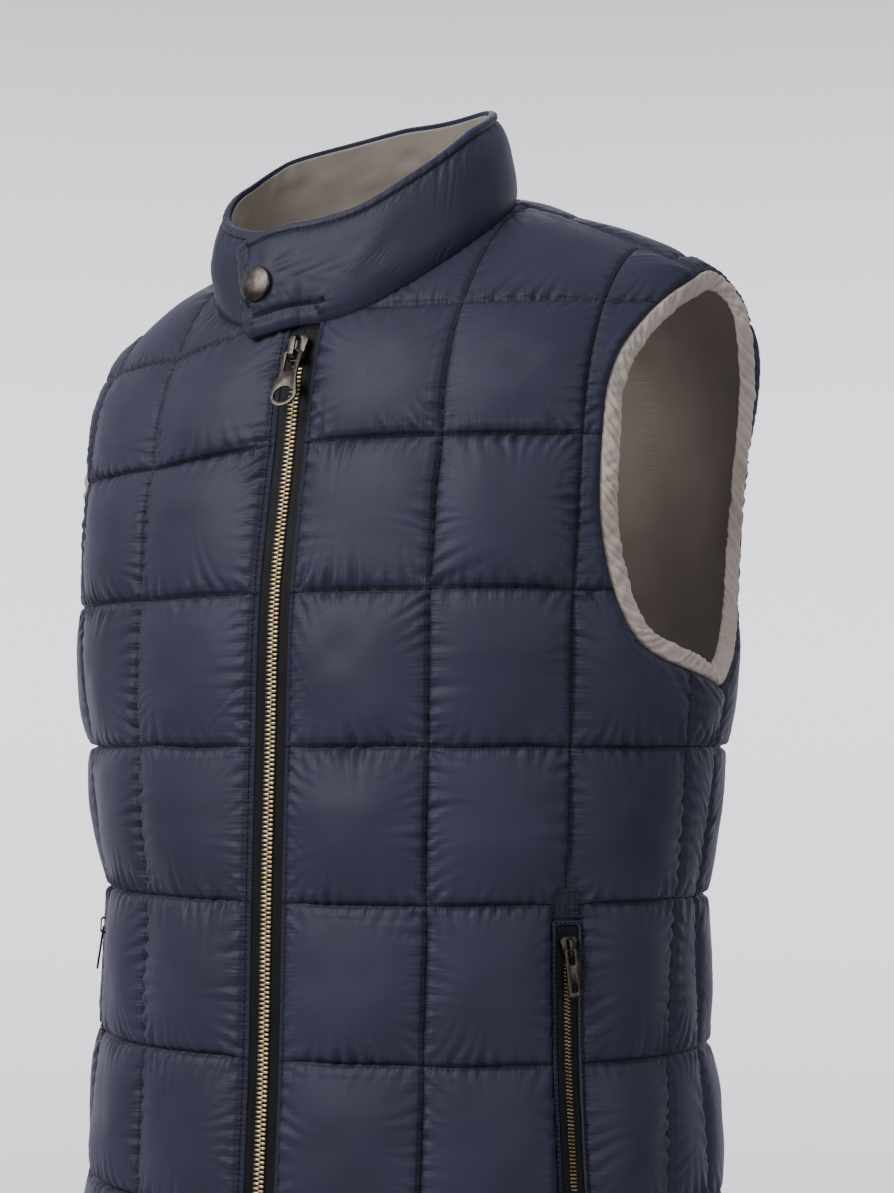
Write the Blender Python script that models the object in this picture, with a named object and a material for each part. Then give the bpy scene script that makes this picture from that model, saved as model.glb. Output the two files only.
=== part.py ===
# A sleeveless quilted down vest with a stand collar, in the hollow form it has when worn.
# Metres, +Z up. The wearer faces -Y, and the wearer's left is +X.
# The origin is on the shoulder line, midway between the shoulders.

import math

import bmesh
import bpy
import numpy as np
from mathutils import Matrix, Vector
from mathutils.geometry import delaunay_2d_cdt

# --- torso rings: height, half width at the side, front depth, back depth
SECTIONS = np.array((
    (-0.680, 0.204, 0.165, 0.130),
    (-0.590, 0.202, 0.163, 0.126),
    (-0.500, 0.196, 0.158, 0.120),
    (-0.416, 0.189, 0.156, 0.116),
    (-0.330, 0.198, 0.153, 0.118),
    (-0.245, 0.211, 0.149, 0.124),
    (-0.160, 0.221, 0.135, 0.122),
    (-0.120, 0.223, 0.129, 0.116),
))
SECTION_ROUNDNESS = 2.05

# --- the cap over the shoulders, which starts from the highest torso ring
CAP_HEIGHT = -0.120
CAP_CLIMB = 0.150
CREST_HEIGHT = -0.004
CREST_FROM = 0.0965
CREST_ROUND = 0.060
SHOULDER_SLOPE = 0.47
FRONT_LEAN = 0.20
FRONT_LEAN_WIDER = 1.9
BACK_LEAN = 0.15
CAP_RISE = 0.42
CAP_REACH = 0.50
SHOULDER_SEAM_FORWARD = 0.022
RIGHT_OUT = 0.010
RIGHT_DROP = 0.016
LEFT_IN = 0.010

# --- neck seam and collar top, each a ring: middle's y, half width, half depth, roundness
NECK_RING = (-0.048, 0.089, 0.0725, 2.0)
COLLAR_TOP_RING = (-0.0557, 0.080, 0.0585, 2.3)
# degrees round from the front, height of the collar's top edge
COLLAR_TOP = np.array((
    (0, -0.028),
    (20, -0.022),
    (40, -0.008),
    (60, 0.0075),
    (90, 0.032),
    (120, 0.048),
    (180, 0.054),
))
COLLAR_RIGHT_DIP = 0.008
COLLAR_PUFF = 0.0060
COLLAR_WALL = 0.0025
COLLAR_LAP = 0.0045
LINING_WALL = 0.0010
LINING_GAP = 0.0007
# where the tab's lower and upper edges end, and how far it stands out on the way
TAB_LOWER_END = (-0.036, -0.1240, -0.092)
TAB_UPPER_END = (-0.050, -0.1095, -0.0285)
TAB_BULGE = 0.0040
TAB_TURN = 34.0

# --- quilting
ROW_PITCH = 0.0853
HEM_HEIGHT = -0.672
QUILT_ROWS = tuple(HEM_HEIGHT + ROW_PITCH * k for k in range(7))
YOKE_ROW_HEIGHT = -0.083
FRONT_LINES = (0.094, 0.172, 0.250)
BACK_LINES = (0.039, 0.117, 0.195)
POCKET_LINE = 1
PUFF_HEIGHT = 0.0090
BACK_PUFF_HEIGHT = 0.0060
SHOULDER_PUFF_HEIGHT = 0.0055
PUFF_REACH = 0.038
CELL_STEPS = (0.0, 0.13, 0.37, 0.63, 0.87)

# --- cut of the panels
WALL = 0.0024
SEAM_GAP = 0.0003
SIDE_SEAM_SHARE = 0.533
FRONT_EDGE = 0.0100
NECK_CLEARANCE = 0.0014
# height, distance of the edge from centre front, distance from centre back
ARMHOLE = np.array((
    (-0.298, 0.2905, 0.2545),
    (-0.281, 0.2212, 0.2320),
    (-0.260, 0.2017, 0.2200),
    (-0.236, 0.1914, 0.2120),
    (-0.200, 0.1835, 0.2080),
    (-0.160, 0.1825, 0.2160),
    (-0.120, 0.1850, 0.2340),
    (-0.090, 0.1975, 0.2440),
    (-0.063, 0.2165, 0.2230),
))
FACING_WIDTH = 0.011
FACING_WALL = 0.0022
FACING_GAP = 0.0006
FACING_TURN = 22.0
FACING_TURN_TOP = 78.0
SHOULDER_TIP = 0.200
CLEARANCE = 0.0004

# --- zips: TAPE_LIFT is where the front tapes lie against the form under the panels
TAPE_WALL = 0.0008
TAPE_LIFT = -0.0020
SLIDER_SCALE = 1.30
SLIDER_DROP = 0.0085
BODY_DEPTH = 0.0030
BRIDGE_HALF_WIDTH = 0.0013
# the pull's axis in its slider, above the body's underside and along the zip
HINGE_DEPTH = 0.0044
HINGE_UP = -0.0018
PULL_LENGTH = 0.0360
PULL_HALF_WIDTH = 0.0036
PULL_SLOT_HALF_WIDTH = 0.0020
PULL_BAR = 0.0008
PULL_RING = 0.0075
PULL_HOLE = 0.0052
PULL_TILT = 5.0

# --- snap: stations of the tab from its end, share of the tab's height
SNAP_RADIUS = 0.0106
SNAP_HEIGHT = 0.0036
SNAP_FROM_END = 3
SNAP_UP_SHARE = 0.46

# --- pocket zips on a front panel: distance from centre front, height
POCKET_TOP = (0.1740, -0.425)
POCKET_FOOT = (0.1870, -0.584)
POCKET_HALF_WIDTH = 0.0090
POCKET_FRAME = 0.0024
POCKET_MARGIN = 0.0006
POCKET_SLIDER_SHARE = 0.09
POCKET_SLIDER_SCALE = 0.90
POCKET_PULL_LENGTH = 0.0250

NAVY = (0.030, 0.036, 0.062)
GREY = (0.290, 0.262, 0.235)
BLACK = (0.012, 0.011, 0.012)
GUNMETAL = (0.330, 0.310, 0.285)
DARK_METAL = (0.080, 0.076, 0.072)


def ease(share):
    """0 to 1, slow at both ends."""
    share = np.clip(share, 0, 1)
    return share * share * (3 - 2 * share)


def clear_scene():
    for obj in list(bpy.data.objects):
        bpy.data.objects.remove(obj, do_unlink=True)


def make_material(name, color, roughness, metallic=0.0):
    material = bpy.data.materials.new(name)
    material.use_nodes = True
    shader = material.node_tree.nodes["Principled BSDF"]
    shader.inputs["Base Color"].default_value = (*color, 1.0)
    shader.inputs["Roughness"].default_value = roughness
    shader.inputs["Metallic"].default_value = metallic
    return material


def add_object(name, mesh, material):
    mesh.materials.append(material)
    mesh.shade_smooth()
    mesh.set_sharp_from_angle(angle=math.radians(50))
    obj = bpy.data.objects.new(name, mesh)
    bpy.context.scene.collection.objects.link(obj)
    return obj


def settle(points):
    """Points as they hang: the wearer's right shoulder is lower and further out than the left,
    and the left side is closer in towards the hem."""
    x, _, z = np.moveaxis(np.asarray(points, float), -1, 0)
    right, high, top = (ease(v) for v in (-x / 0.10, (z + 0.46) / 0.16, (z + 0.24) / 0.16))
    left = ease((x - 0.09) / 0.09) * ease((-0.36 - z) / 0.16)
    return points + np.stack([-RIGHT_OUT * right * high - LEFT_IN * left, 0 * x, -RIGHT_DROP * right * top], axis=-1)


def mesh_object(name, points, faces, material):
    """An object of one closed mesh, its faces turned outwards."""
    points = settle(points)
    mesh = bpy.data.meshes.new(name)
    mesh.from_pydata([tuple(p) for p in points], [], [tuple(f) for f in faces])
    shape = bmesh.new()
    shape.from_mesh(mesh)
    bmesh.ops.recalc_face_normals(shape, faces=shape.faces)
    shape.to_mesh(mesh)
    shape.free()
    return add_object(name, mesh, material)


# ---------------------------------------------------------------- the form under the quilting


def smooth_row(table, column, keys):
    """Value of a table's column at any key, on a smooth curve through its rows."""
    known, values = table[:, 0], table[:, column]
    slopes = np.gradient(values, known)
    keys = np.clip(keys, known[0], known[-1])
    low = np.clip(np.searchsorted(known, keys) - 1, 0, len(known) - 2)
    span = known[low + 1] - known[low]
    share = (keys - known[low]) / span
    start, end = values[low], values[low + 1]
    start_slope, end_slope = slopes[low] * span, slopes[low + 1] * span
    bend = 3 * (end - start) - 2 * start_slope - end_slope
    twist = start_slope + end_slope - 2 * (end - start)
    return start + share * (start_slope + share * (bend + share * twist))


def ring_xy(half_width, front, back, turn, roundness=SECTION_ROUNDNESS):
    """Point of a rounded ring; turn is 0 at the front and pi at the back."""
    sine, cosine = np.sin(turn), np.cos(turn)
    depth = np.where(cosine > 0, front, back)
    x = np.sign(sine) * half_width * np.abs(sine) ** (2 / roundness)
    y = -np.sign(cosine) * depth * np.abs(cosine) ** (2 / roundness)
    return x, y


RING_HEIGHTS = np.linspace(SECTIONS[0, 0], CAP_HEIGHT, 141)
RING_STEPS = 601


def ring_tables():
    """x and y by height and by share of the way from centre front to centre back."""
    turns = np.linspace(0.0, math.pi, 721)
    shares = np.linspace(0.0, 1.0, RING_STEPS)
    xs, ys, lengths = [], [], []
    for height in RING_HEIGHTS:
        x, y = ring_xy(*(smooth_row(SECTIONS, c, height) for c in (1, 2, 3)), turns)
        way = np.concatenate([[0.0], np.cumsum(np.hypot(np.diff(x), np.diff(y)))])
        xs.append(np.interp(shares * way[-1], way, x))
        ys.append(np.interp(shares * way[-1], way, y))
        lengths.append(way[-1])
    return np.array(xs), np.array(ys), np.array(lengths)


RING_X, RING_Y, HALF_GIRTHS = ring_tables()


def half_girth(height):
    return np.interp(height, RING_HEIGHTS, HALF_GIRTHS)


def ring_point(share, height):
    """x and y on the torso at a share of the half girth and a height."""
    row = np.clip((height - RING_HEIGHTS[0]) / (RING_HEIGHTS[1] - RING_HEIGHTS[0]), 0, len(RING_HEIGHTS) - 1)
    low = np.minimum(row.astype(int), len(RING_HEIGHTS) - 2)
    step = np.clip(share, 0, 1) * (RING_STEPS - 1)
    left = np.minimum(step.astype(int), RING_STEPS - 2)
    found = []
    for table in (RING_X, RING_Y):
        below = table[low, left] + (step - left) * (table[low, left + 1] - table[low, left])
        above = table[low + 1, left] + (step - left) * (table[low + 1, left + 1] - table[low + 1, left])
        found.append(below + (row - low) * (above - below))
    return found


def cap_point(x, climb):
    """y and z over the shoulder at x: climb is -1 at the front ring, 0 on the crest, 1 at the back ring."""
    half_width, front, back = (smooth_row(SECTIONS, c, CAP_HEIGHT) for c in (1, 2, 3))
    inside = np.maximum(1 - (np.abs(x) / half_width) ** SECTION_ROUNDNESS, 0) ** (1 / SECTION_ROUNDNESS)
    ahead = climb < 0
    edge = np.where(ahead, -front, back) * inside
    lean = np.where(ahead, FRONT_LEAN + FRONT_LEAN_WIDER * np.abs(x), -BACK_LEAN)
    crest = CREST_HEIGHT - SHOULDER_SLOPE * (np.hypot(x, CREST_ROUND) - CREST_FROM)
    rise = CAP_RISE * (crest - CAP_HEIGHT)
    b = 1 - np.abs(climb)
    a = 1 - b
    y = a ** 3 * edge + 3 * a * a * b * (edge + lean * rise) + 3 * a * b * b * CAP_REACH * edge
    z = a ** 3 * CAP_HEIGHT + 3 * a * a * b * (CAP_HEIGHT + rise) + (3 * a * b * b + b ** 3) * crest
    return y, z


def base_point(face, across, up):
    """Point on the form under a panel. across is metres from the panel's own centre line, and up is the
    height as far as CAP_HEIGHT and then the way over the shoulder, CAP_CLIMB long from ring to crest."""
    across, up = np.broadcast_arrays(np.asarray(across, float), np.asarray(up, float))
    share = np.abs(across) / half_girth(up)
    if face > 0:
        share = 1 - share
    x, y = ring_point(share, up)
    climb = face * (1 - np.maximum(up - CAP_HEIGHT, 0) / CAP_CLIMB)
    cap_y, cap_z = cap_point(x, climb)
    over = up > CAP_HEIGHT
    points = np.stack([np.sign(across) * x, np.where(over, cap_y, y), np.where(over, cap_z, up)], axis=-1)
    return points


def surface_frame(face, across, up):
    """Base point, direction across, direction up and outward normal of a panel."""
    step = 2e-4
    point = base_point(face, across, up)
    beside = base_point(face, across + step, up) - base_point(face, across - step, up)
    above = base_point(face, across, up + step) - base_point(face, across, up - step)
    beside /= np.linalg.norm(beside, axis=-1, keepdims=True)
    above /= np.linalg.norm(above, axis=-1, keepdims=True)
    normal = -face * np.cross(beside, above)
    normal /= np.linalg.norm(normal, axis=-1, keepdims=True)
    return point, beside, above, normal


def lifted(face, across, up, lift):
    point, _, _, normal = surface_frame(face, across, up)
    return point + normal * np.asarray(lift)[..., None]


FRONT, BACK = -1, 1


def up_at_height(face, across, height):
    """The panel's own up where it reaches a height above CAP_HEIGHT."""
    ups = np.linspace(CAP_HEIGHT, CAP_HEIGHT + CAP_CLIMB, 200)
    return float(np.interp(height, base_point(face, across, ups)[:, 2], ups))


def up_at_depth(face, across, y):
    """The panel's own up where the way over the shoulder reaches a y."""
    ups = np.linspace(CAP_HEIGHT, CAP_HEIGHT + 2 * CAP_CLIMB, 400)
    depths = -face * base_point(face, across, ups)[:, 1]
    return float(np.interp(-face * y, depths, ups))


# ---------------------------------------------------------------- quilting

YOKE_ACROSS = np.linspace(0.0, 0.22, 23)
YOKE_UP = {face: np.array([up_at_height(face, a, YOKE_ROW_HEIGHT) for a in YOKE_ACROSS]) for face in (FRONT, BACK)}


def seam_rows(face, across):
    """Every quilted row of a panel at each distance across it, from the hem up."""
    across = np.abs(across)
    yoke = np.interp(across, YOKE_ACROSS, YOKE_UP[face])
    return np.stack([*(np.full_like(yoke, row) for row in QUILT_ROWS), yoke], axis=-1)


def swell(distance, reach=PUFF_REACH):
    """How far the down fills the cloth at a distance from a seam, from 0 to 1."""
    return (1 - (1 - np.clip(distance / reach, 0, 1)) ** 2) ** 0.4


def segment_distance(points, start, end):
    """Distance of each point from each segment."""
    way = end - start
    apart = points[:, None, :] - start
    share = np.sum(apart * way, axis=-1) / np.maximum(np.sum(way * way, axis=-1), 1e-12)
    return np.linalg.norm(apart - np.clip(share, 0, 1)[..., None] * way, axis=-1)


def outline_distance(points, outline):
    return segment_distance(points, outline, np.roll(outline, -1, axis=0)).min(axis=1)


def pocket_distance(points):
    """Distance outside a pocket's frame, on a front panel."""
    top, foot = np.array((POCKET_TOP,)), np.array((POCKET_FOOT,))
    return np.maximum(segment_distance(points, top, foot)[:, 0] - POCKET_HALF_WIDTH - POCKET_MARGIN, 0)


def puff(face, points, outline, lines):
    """Height of the filled cloth above the form at points of a panel."""
    across, up = np.abs(points[:, 0]), points[:, 1]
    fill = swell(np.abs(up[:, None] - seam_rows(face, across)).min(axis=1))
    fill *= swell(outline_distance(points, outline))
    apart = np.abs(across[:, None] - np.array(lines))
    if face == FRONT:
        beside_pocket = (up > QUILT_ROWS[0]) & (up < QUILT_ROWS[3])
        apart[beside_pocket, POCKET_LINE] = 1.0
        fill *= swell(pocket_distance(points))
    fill *= swell(apart.min(axis=1))
    shoulder = np.clip((up - QUILT_ROWS[-1]) / (CAP_HEIGHT + 0.06 - QUILT_ROWS[-1]), 0, 1)
    round_side = np.clip((across - 0.19) / 0.08, 0, 1) if face == FRONT else 1.0
    height = PUFF_HEIGHT + round_side * (BACK_PUFF_HEIGHT - PUFF_HEIGHT)
    return fill * (height + shoulder * (SHOULDER_PUFF_HEIGHT - height))


# ---------------------------------------------------------------- outlines of the panels


def spread(start, end, step):
    """Values from start to end, evenly spaced, both ends kept."""
    return np.linspace(start, end, max(int(math.ceil(abs(end - start) / step)), 1) + 1)


def neck_xy(turn, grown=0.0):
    middle, half_width, half_depth, roundness = NECK_RING
    x, y = ring_xy(half_width + grown, half_depth + grown, half_depth + grown, turn, roundness)
    return x, y + middle


def across_at_x(face, x):
    """Distance from the panel's centre line to an x on the highest torso ring."""
    steps = np.linspace(0, 0.25, 400)
    share = steps / half_girth(CAP_HEIGHT)
    if face == BACK:
        share = 1 - share
    return float(np.interp(x, ring_point(share, np.full_like(steps, CAP_HEIGHT))[0], steps))


def side_edge(face, height):
    share = SIDE_SEAM_SHARE if face == FRONT else 1 - SIDE_SEAM_SHARE
    return float(share * half_girth(height) - SEAM_GAP / 2)


def armhole_edge(face):
    """The armhole's edge on one panel, from the side seam up to the shoulder seam."""
    column = 1 if face == FRONT else 2
    low, high = ARMHOLE[0, 0], ARMHOLE[-1, 0]
    heights = np.concatenate([spread(low, low + 0.017, 0.006), spread(low + 0.028, high, 0.016)])
    edge = [(side_edge(face, low), low)]
    for height in heights[1:-1]:
        across = float(smooth_row(ARMHOLE, column, height))
        up = height if height <= CAP_HEIGHT else up_at_height(face, across, height)
        edge.append((across, up))
    tip = across_at_x(face, SHOULDER_TIP)
    seam = up_at_depth(face, tip, -SHOULDER_SEAM_FORWARD)
    if face == BACK:
        last, start = edge[-1]
        for up in spread(start, seam - SEAM_GAP, 0.014)[1:]:
            edge.append((tip + (last - tip) * (1 - ease((up - start) / (CAP_HEIGHT + CAP_CLIMB - start))), up))
    else:
        edge.append((tip, seam - SEAM_GAP))
    return edge


def shoulder_edge(face, start, end):
    """The shoulder seam's edge between two distances across, without its ends."""
    ways = spread(start, end, 0.016)[1:-1]
    return [(way, up_at_depth(face, way, -SHOULDER_SEAM_FORWARD) - SEAM_GAP) for way in ways]


def neck_edge(face):
    """The neck's edge of a panel, from the shoulder seam to its centre line."""
    turns = np.linspace(0.3, 2.6, 200)
    seam_turn = np.interp(-SHOULDER_SEAM_FORWARD, neck_xy(turns, NECK_CLEARANCE)[1], turns)
    edge = []
    for turn in np.linspace(seam_turn, 0.16 if face == FRONT else math.pi, 13):
        x, y = (float(v) for v in neck_xy(turn, NECK_CLEARANCE))
        across = across_at_x(face, max(x, 0.0))
        edge.append((across, up_at_depth(face, across, y)))
    edge[0] = (edge[0][0], edge[0][1] - SEAM_GAP)
    return edge


def below_and_beside(face, start):
    """Hem from a distance across to the side seam, then the side seam up to the armhole."""
    side = [(side_edge(face, up), up) for up in spread(HEM_HEIGHT, ARMHOLE[0, 0], 0.016)[:-1]]
    hem = [(across, HEM_HEIGHT) for across in spread(start, side[0][0], 0.016)[:-1]]
    return hem + side


def front_outline():
    armhole = armhole_edge(FRONT)
    neck = neck_edge(FRONT)
    shoulder = shoulder_edge(FRONT, armhole[-1][0], neck[0][0])
    edge = [(FRONT_EDGE, up) for up in spread(zip_top(), HEM_HEIGHT, 0.016)[:-1]]
    return np.array(below_and_beside(FRONT, FRONT_EDGE) + armhole + shoulder + neck + edge)


def back_outline():
    armhole = armhole_edge(BACK)
    neck = neck_edge(BACK)
    shoulder = shoulder_edge(BACK, armhole[-1][0], neck[0][0])
    half = np.array(below_and_beside(BACK, 0.0) + armhole + shoulder + neck)
    return np.concatenate([half, half[1:-1][::-1] * (-1, 1)])


def zip_top():
    """The front panels' own up where their straight edge meets the neck."""
    x, y = (float(v) for v in neck_xy(0.10, NECK_CLEARANCE))
    return up_at_depth(FRONT, across_at_x(FRONT, x), y)


# ---------------------------------------------------------------- quilted panels


def inside(points, outline):
    """Whether each point is in an outline, by crossings."""
    x, y = points[:, :1], points[:, 1:]
    x0, y0 = outline.T
    x1, y1 = np.roll(x0, -1), np.roll(y0, -1)
    rise = np.where(y1 == y0, 1.0, y1 - y0)
    crosses = ((y0 > y) != (y1 > y)) & (x < x0 + (y - y0) / rise * (x1 - x0))
    return np.count_nonzero(crosses, axis=1) % 2 == 1


def triangulate(loops, inner=()):
    """Flat triangles of outlines and the points in them, and the outlines' points in order."""
    points = [Vector(p) for loop in loops for p in loop]
    edges, start = [], 0
    for loop in loops:
        edges += [(start + i, start + (i + 1) % len(loop)) for i in range(len(loop))]
        start += len(loop)
    points += [Vector(p) for p in inner]
    made, _, faces, sources, _, _ = delaunay_2d_cdt(points, edges, [], 1, 1e-7)
    place = {old: new for new, olds in enumerate(sources) for old in olds}
    return np.array([tuple(p) for p in made]), [tuple(f) for f in faces], [place[i] for i in range(start)]


def quilt_knots(face, outline, lines, steps):
    """Points inside a panel, closer together beside its seams."""
    seams = sorted({0.0, *lines, float(outline[:, 0].max())})
    if face == BACK:
        seams = [-seam for seam in seams[:0:-1]] + seams[1:]
    steps = np.array(steps)
    seams = np.array(seams)
    across = (seams[:-1, None] + np.diff(seams)[:, None] * steps).ravel()
    rows = seam_rows(face, across)
    rows = np.concatenate([rows, np.full((len(across), 1), CAP_HEIGHT + 1.25 * CAP_CLIMB)], axis=1)
    up = (rows[:, :-1, None] + np.diff(rows, axis=1)[:, :, None] * steps).reshape(len(across), -1)
    knots = np.stack([np.broadcast_to(across[:, None], up.shape), up], axis=-1).reshape(-1, 2)
    knots = knots[inside(knots, outline)]
    return knots[outline_distance(knots, outline) > 0.0048]


def make_panel(name, face, sign, outline, lines, material):
    """A quilted wall: filled cells outside, a plain wall inside."""
    knots = quilt_knots(face, outline, lines, CELL_STEPS)
    if face == FRONT:
        knots = knots[pocket_distance(knots) > 0.004]
        knots = np.concatenate([knots, pocket_ring(POCKET_HALF_WIDTH + POCKET_MARGIN * 0.9, 0.0)])
    outer, faces, outer_rim = triangulate([outline], knots)
    inner, inner_faces, inner_rim = triangulate([outline], quilt_knots(face, outline, lines, (0.0, 0.5)))
    heights = puff(face, outer, outline, lines)
    outside = lifted(face, outer[:, 0], outer[:, 1], heights)
    within = lifted(face, inner[:, 0], inner[:, 1], np.full(len(inner), -WALL))
    shift = len(outside)
    faces += [tuple(i + shift for i in f[::-1]) for f in inner_faces]
    rim = list(zip(outer_rim, inner_rim))
    for (a, b), (c, d) in zip(rim, rim[1:] + rim[:1]):
        faces.append((a, b + shift, d + shift, c))
    return mesh_object(name, np.concatenate([outside, within]) * (sign, 1, 1), faces, material)


def loft(name, sections, material, closed=False):
    """A solid through sections of equally many points, in a ring or with its ends closed."""
    size = len(sections[0])
    faces = []
    for i in range(len(sections) if closed else len(sections) - 1):
        here, there = i * size, (i + 1) % len(sections) * size
        for j in range(size):
            k = (j + 1) % size
            faces.append((here + j, here + k, there + k, there + j))
    if not closed:
        last = (len(sections) - 1) * size
        faces.append(tuple(range(size))[::-1])
        faces.append(tuple(range(last, last + size)))
    return mesh_object(name, np.concatenate(sections), faces, material)


# ---------------------------------------------------------------- pockets


def pocket_path(share):
    return np.array(POCKET_TOP) + (np.array(POCKET_FOOT) - np.array(POCKET_TOP)) * share


def pocket_ring(half, inset, steps=9):
    """Points round a pocket, half wide and ending inset from its ends, down one side and up the other."""
    slant = np.array(POCKET_TOP) - np.array(POCKET_FOOT)
    end = inset / np.linalg.norm(slant)
    shares = np.linspace(end, 1 - end, steps)
    near = [pocket_path(share) + (-half, 0) for share in shares]
    far = [pocket_path(share) + (half, 0) for share in shares[::-1]]
    return np.array(near + far)


def pocket_section(points, low, high, sign):
    return lifted(FRONT, points[:, 0], points[:, 1], np.array((low, high, high, low))) * (sign, 1, 1)


def make_pocket(side, sign, navy, black):
    """The stitched frame and the tape in it, made from the panel's points and moved out."""
    outer = pocket_ring(POCKET_HALF_WIDTH, 0.0)
    inner = pocket_ring(POCKET_HALF_WIDTH - POCKET_FRAME, POCKET_FRAME)
    sections = [pocket_section(np.array((a, a, b, b)), CLEARANCE, CLEARANCE + 0.0018, sign)
                for a, b in zip(outer, inner)]
    loft(f"pocket_frame_{side}", sections, navy, closed=True)
    tape = pocket_ring(POCKET_HALF_WIDTH - POCKET_FRAME - SEAM_GAP, POCKET_FRAME + SEAM_GAP)
    half = len(tape) // 2
    sections = [pocket_section(np.array((a, a, b, b)), CLEARANCE, CLEARANCE + TAPE_WALL, sign)
                for a, b in zip(tape[:half], tape[:half - 1:-1])]
    loft(f"pocket_tape_{side}", sections, black)


# ---------------------------------------------------------------- collar


def collar_top(turn, dip=True):
    """Point of the collar's top edge."""
    middle, half_width, half_depth, roundness = COLLAR_TOP_RING
    x, y = (float(v) for v in ring_xy(half_width, half_depth, half_depth, turn, roundness))
    z = float(smooth_row(COLLAR_TOP, 1, abs(math.degrees(math.remainder(turn, 2 * math.pi)))))
    from_dip = abs(math.remainder(turn + math.radians(60), 2 * math.pi))
    if dip:
        z -= COLLAR_RIGHT_DIP * math.cos(min(from_dip * 1.5, math.pi / 2))
    return np.array((x, y + middle, z))


def collar_foot(turn):
    """Point of the neck seam, on the form under the panels."""
    x, y = (float(v) for v in neck_xy(turn))
    climbs = np.linspace(-1, 1, 400)
    depth, height = cap_point(np.full_like(climbs, x), climbs)
    return np.array((x, y, float(np.interp(y, depth, height))))


def collar_stations():
    """(foot, top, fullness) along the collar, from its right end under the tab round to the tab's end."""
    stations = []
    for turn in np.linspace(math.radians(-4), math.radians(-360), 56):
        lap = COLLAR_LAP * max(1 - abs(turn) / math.radians(TAB_TURN), 0)
        inward = np.array((0.0, lap, 0.0))
        fullness = np.clip((abs(math.degrees(turn)) - TAB_TURN) / 20, 0, 1)
        stations.append((collar_foot(turn) + inward, collar_top(turn) + inward, fullness))
    foot, top = stations[-1][:2]
    for share in np.linspace(0, 1, 9)[1:]:
        pair = []
        for start, end in ((foot, np.array(TAB_LOWER_END)), (top, np.array(TAB_UPPER_END))):
            point = start + (end - start) * share
            point[1] -= (end[1] - start[1]) * share * (1 - share) + TAB_BULGE * 4 * share * (1 - share)
            pair.append(point)
        stations.append((*pair, 1.0))
    return stations


COLLAR_STATIONS = collar_stations()
COLLAR_FEET = np.array([station[0] for station in COLLAR_STATIONS])
COLLAR_RISES = np.array([station[1] for station in COLLAR_STATIONS]) - COLLAR_FEET
COLLAR_FULLNESS = np.array([station[2] for station in COLLAR_STATIONS])
COLLAR_OUTWARD = np.cross(COLLAR_RISES, np.gradient(COLLAR_FEET + COLLAR_RISES / 2, axis=0))
COLLAR_OUTWARD /= np.linalg.norm(COLLAR_OUTWARD, axis=1, keepdims=True)


def collar_points(index, shares, lifts):
    """Points across the collar's wall at one station, from shares of its height and distances out."""
    foot, rise, outward = COLLAR_FEET[index], COLLAR_RISES[index], COLLAR_OUTWARD[index]
    return foot + np.outer(shares, rise) + np.outer(lifts, outward)


def make_collar(navy, grey):
    count = len(COLLAR_FEET)
    shares = np.array((0.0, 0.07, 0.17, 0.32, 0.5, 0.68, 0.80, 0.905, 0.955, 1.0))
    inner_shares = np.array((1.0, 0.62, 0.30, 0.0))
    sections = []
    for i in range(count):
        height = np.linalg.norm(COLLAR_RISES[i])
        fill = np.minimum(shares, np.maximum(0.905 - shares, 0)) * height
        from_end = np.linalg.norm(COLLAR_FEET[i] - COLLAR_FEET[-1]) if i > count // 2 else 1.0
        near_end = swell(max(from_end - 0.005, 0.0), 0.030)
        lifts = COLLAR_PUFF * swell(fill, 0.024) * COLLAR_FULLNESS[i] * near_end
        lifts[-2] = 0.0012
        outer = collar_points(i, shares, lifts)
        inner = collar_points(i, inner_shares, np.full(4, -COLLAR_WALL))
        sections.append(np.concatenate([outer, inner]))
    loft("collar", sections, navy)
    near, far = -COLLAR_WALL - LINING_GAP, -COLLAR_WALL - LINING_GAP - LINING_WALL
    ways = np.array((0.03, 0.5, 0.95, 0.95, 0.5, 0.03))
    lifts = np.array((near, near, near, far, far, far))
    lining = [collar_points(i, ways, lifts) for i in range(1, count - 8)]
    loft("collar_lining", lining, grey)


# ---------------------------------------------------------------- armhole facings


def make_facing(side, sign, grey):
    """The grey band round an armhole, just past the panels' edges and turned in."""
    stations = []
    for face in (FRONT, BACK):
        edge = np.array(armhole_edge(face))
        if face == BACK:
            edge = edge[1:-1]
        point, beside, _, normal = surface_frame(face, edge[:, 0], edge[:, 1])
        way = np.gradient(point, axis=0)
        outward = np.cross(way, normal)
        outward *= np.sign(np.sum(outward * beside, axis=1, keepdims=True))
        outward /= np.linalg.norm(outward, axis=1, keepdims=True)
        stations += list(zip(point, outward, normal))[::-face]
    sections = []
    for point, outward, normal in stations:
        high = np.clip((point[2] + 0.16) / 0.10, 0, 1)
        behind = np.clip(point[1] / 0.04 + 0.6, 0, 1)
        turn = math.radians(FACING_TURN + (FACING_TURN_TOP - FACING_TURN) * max(high * 0.9, behind * 0.7))
        along = outward * math.cos(turn) - normal * math.sin(turn)
        thick = outward * math.sin(turn) + normal * math.cos(turn)
        start = point + outward * (FACING_GAP + FACING_WALL / 2 * math.sin(turn)) - normal * WALL / 2
        band = [start, start + along * FACING_WIDTH]
        half = thick * FACING_WALL / 2
        corners = (band[0] + half, band[1] + half, band[1] - half, band[0] - half)
        sections.append(np.array(corners) * (sign, 1, 1))
    loft(f"armhole_facing_{side}", sections, grey, closed=True)


# ---------------------------------------------------------------- small hard pieces


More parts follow.
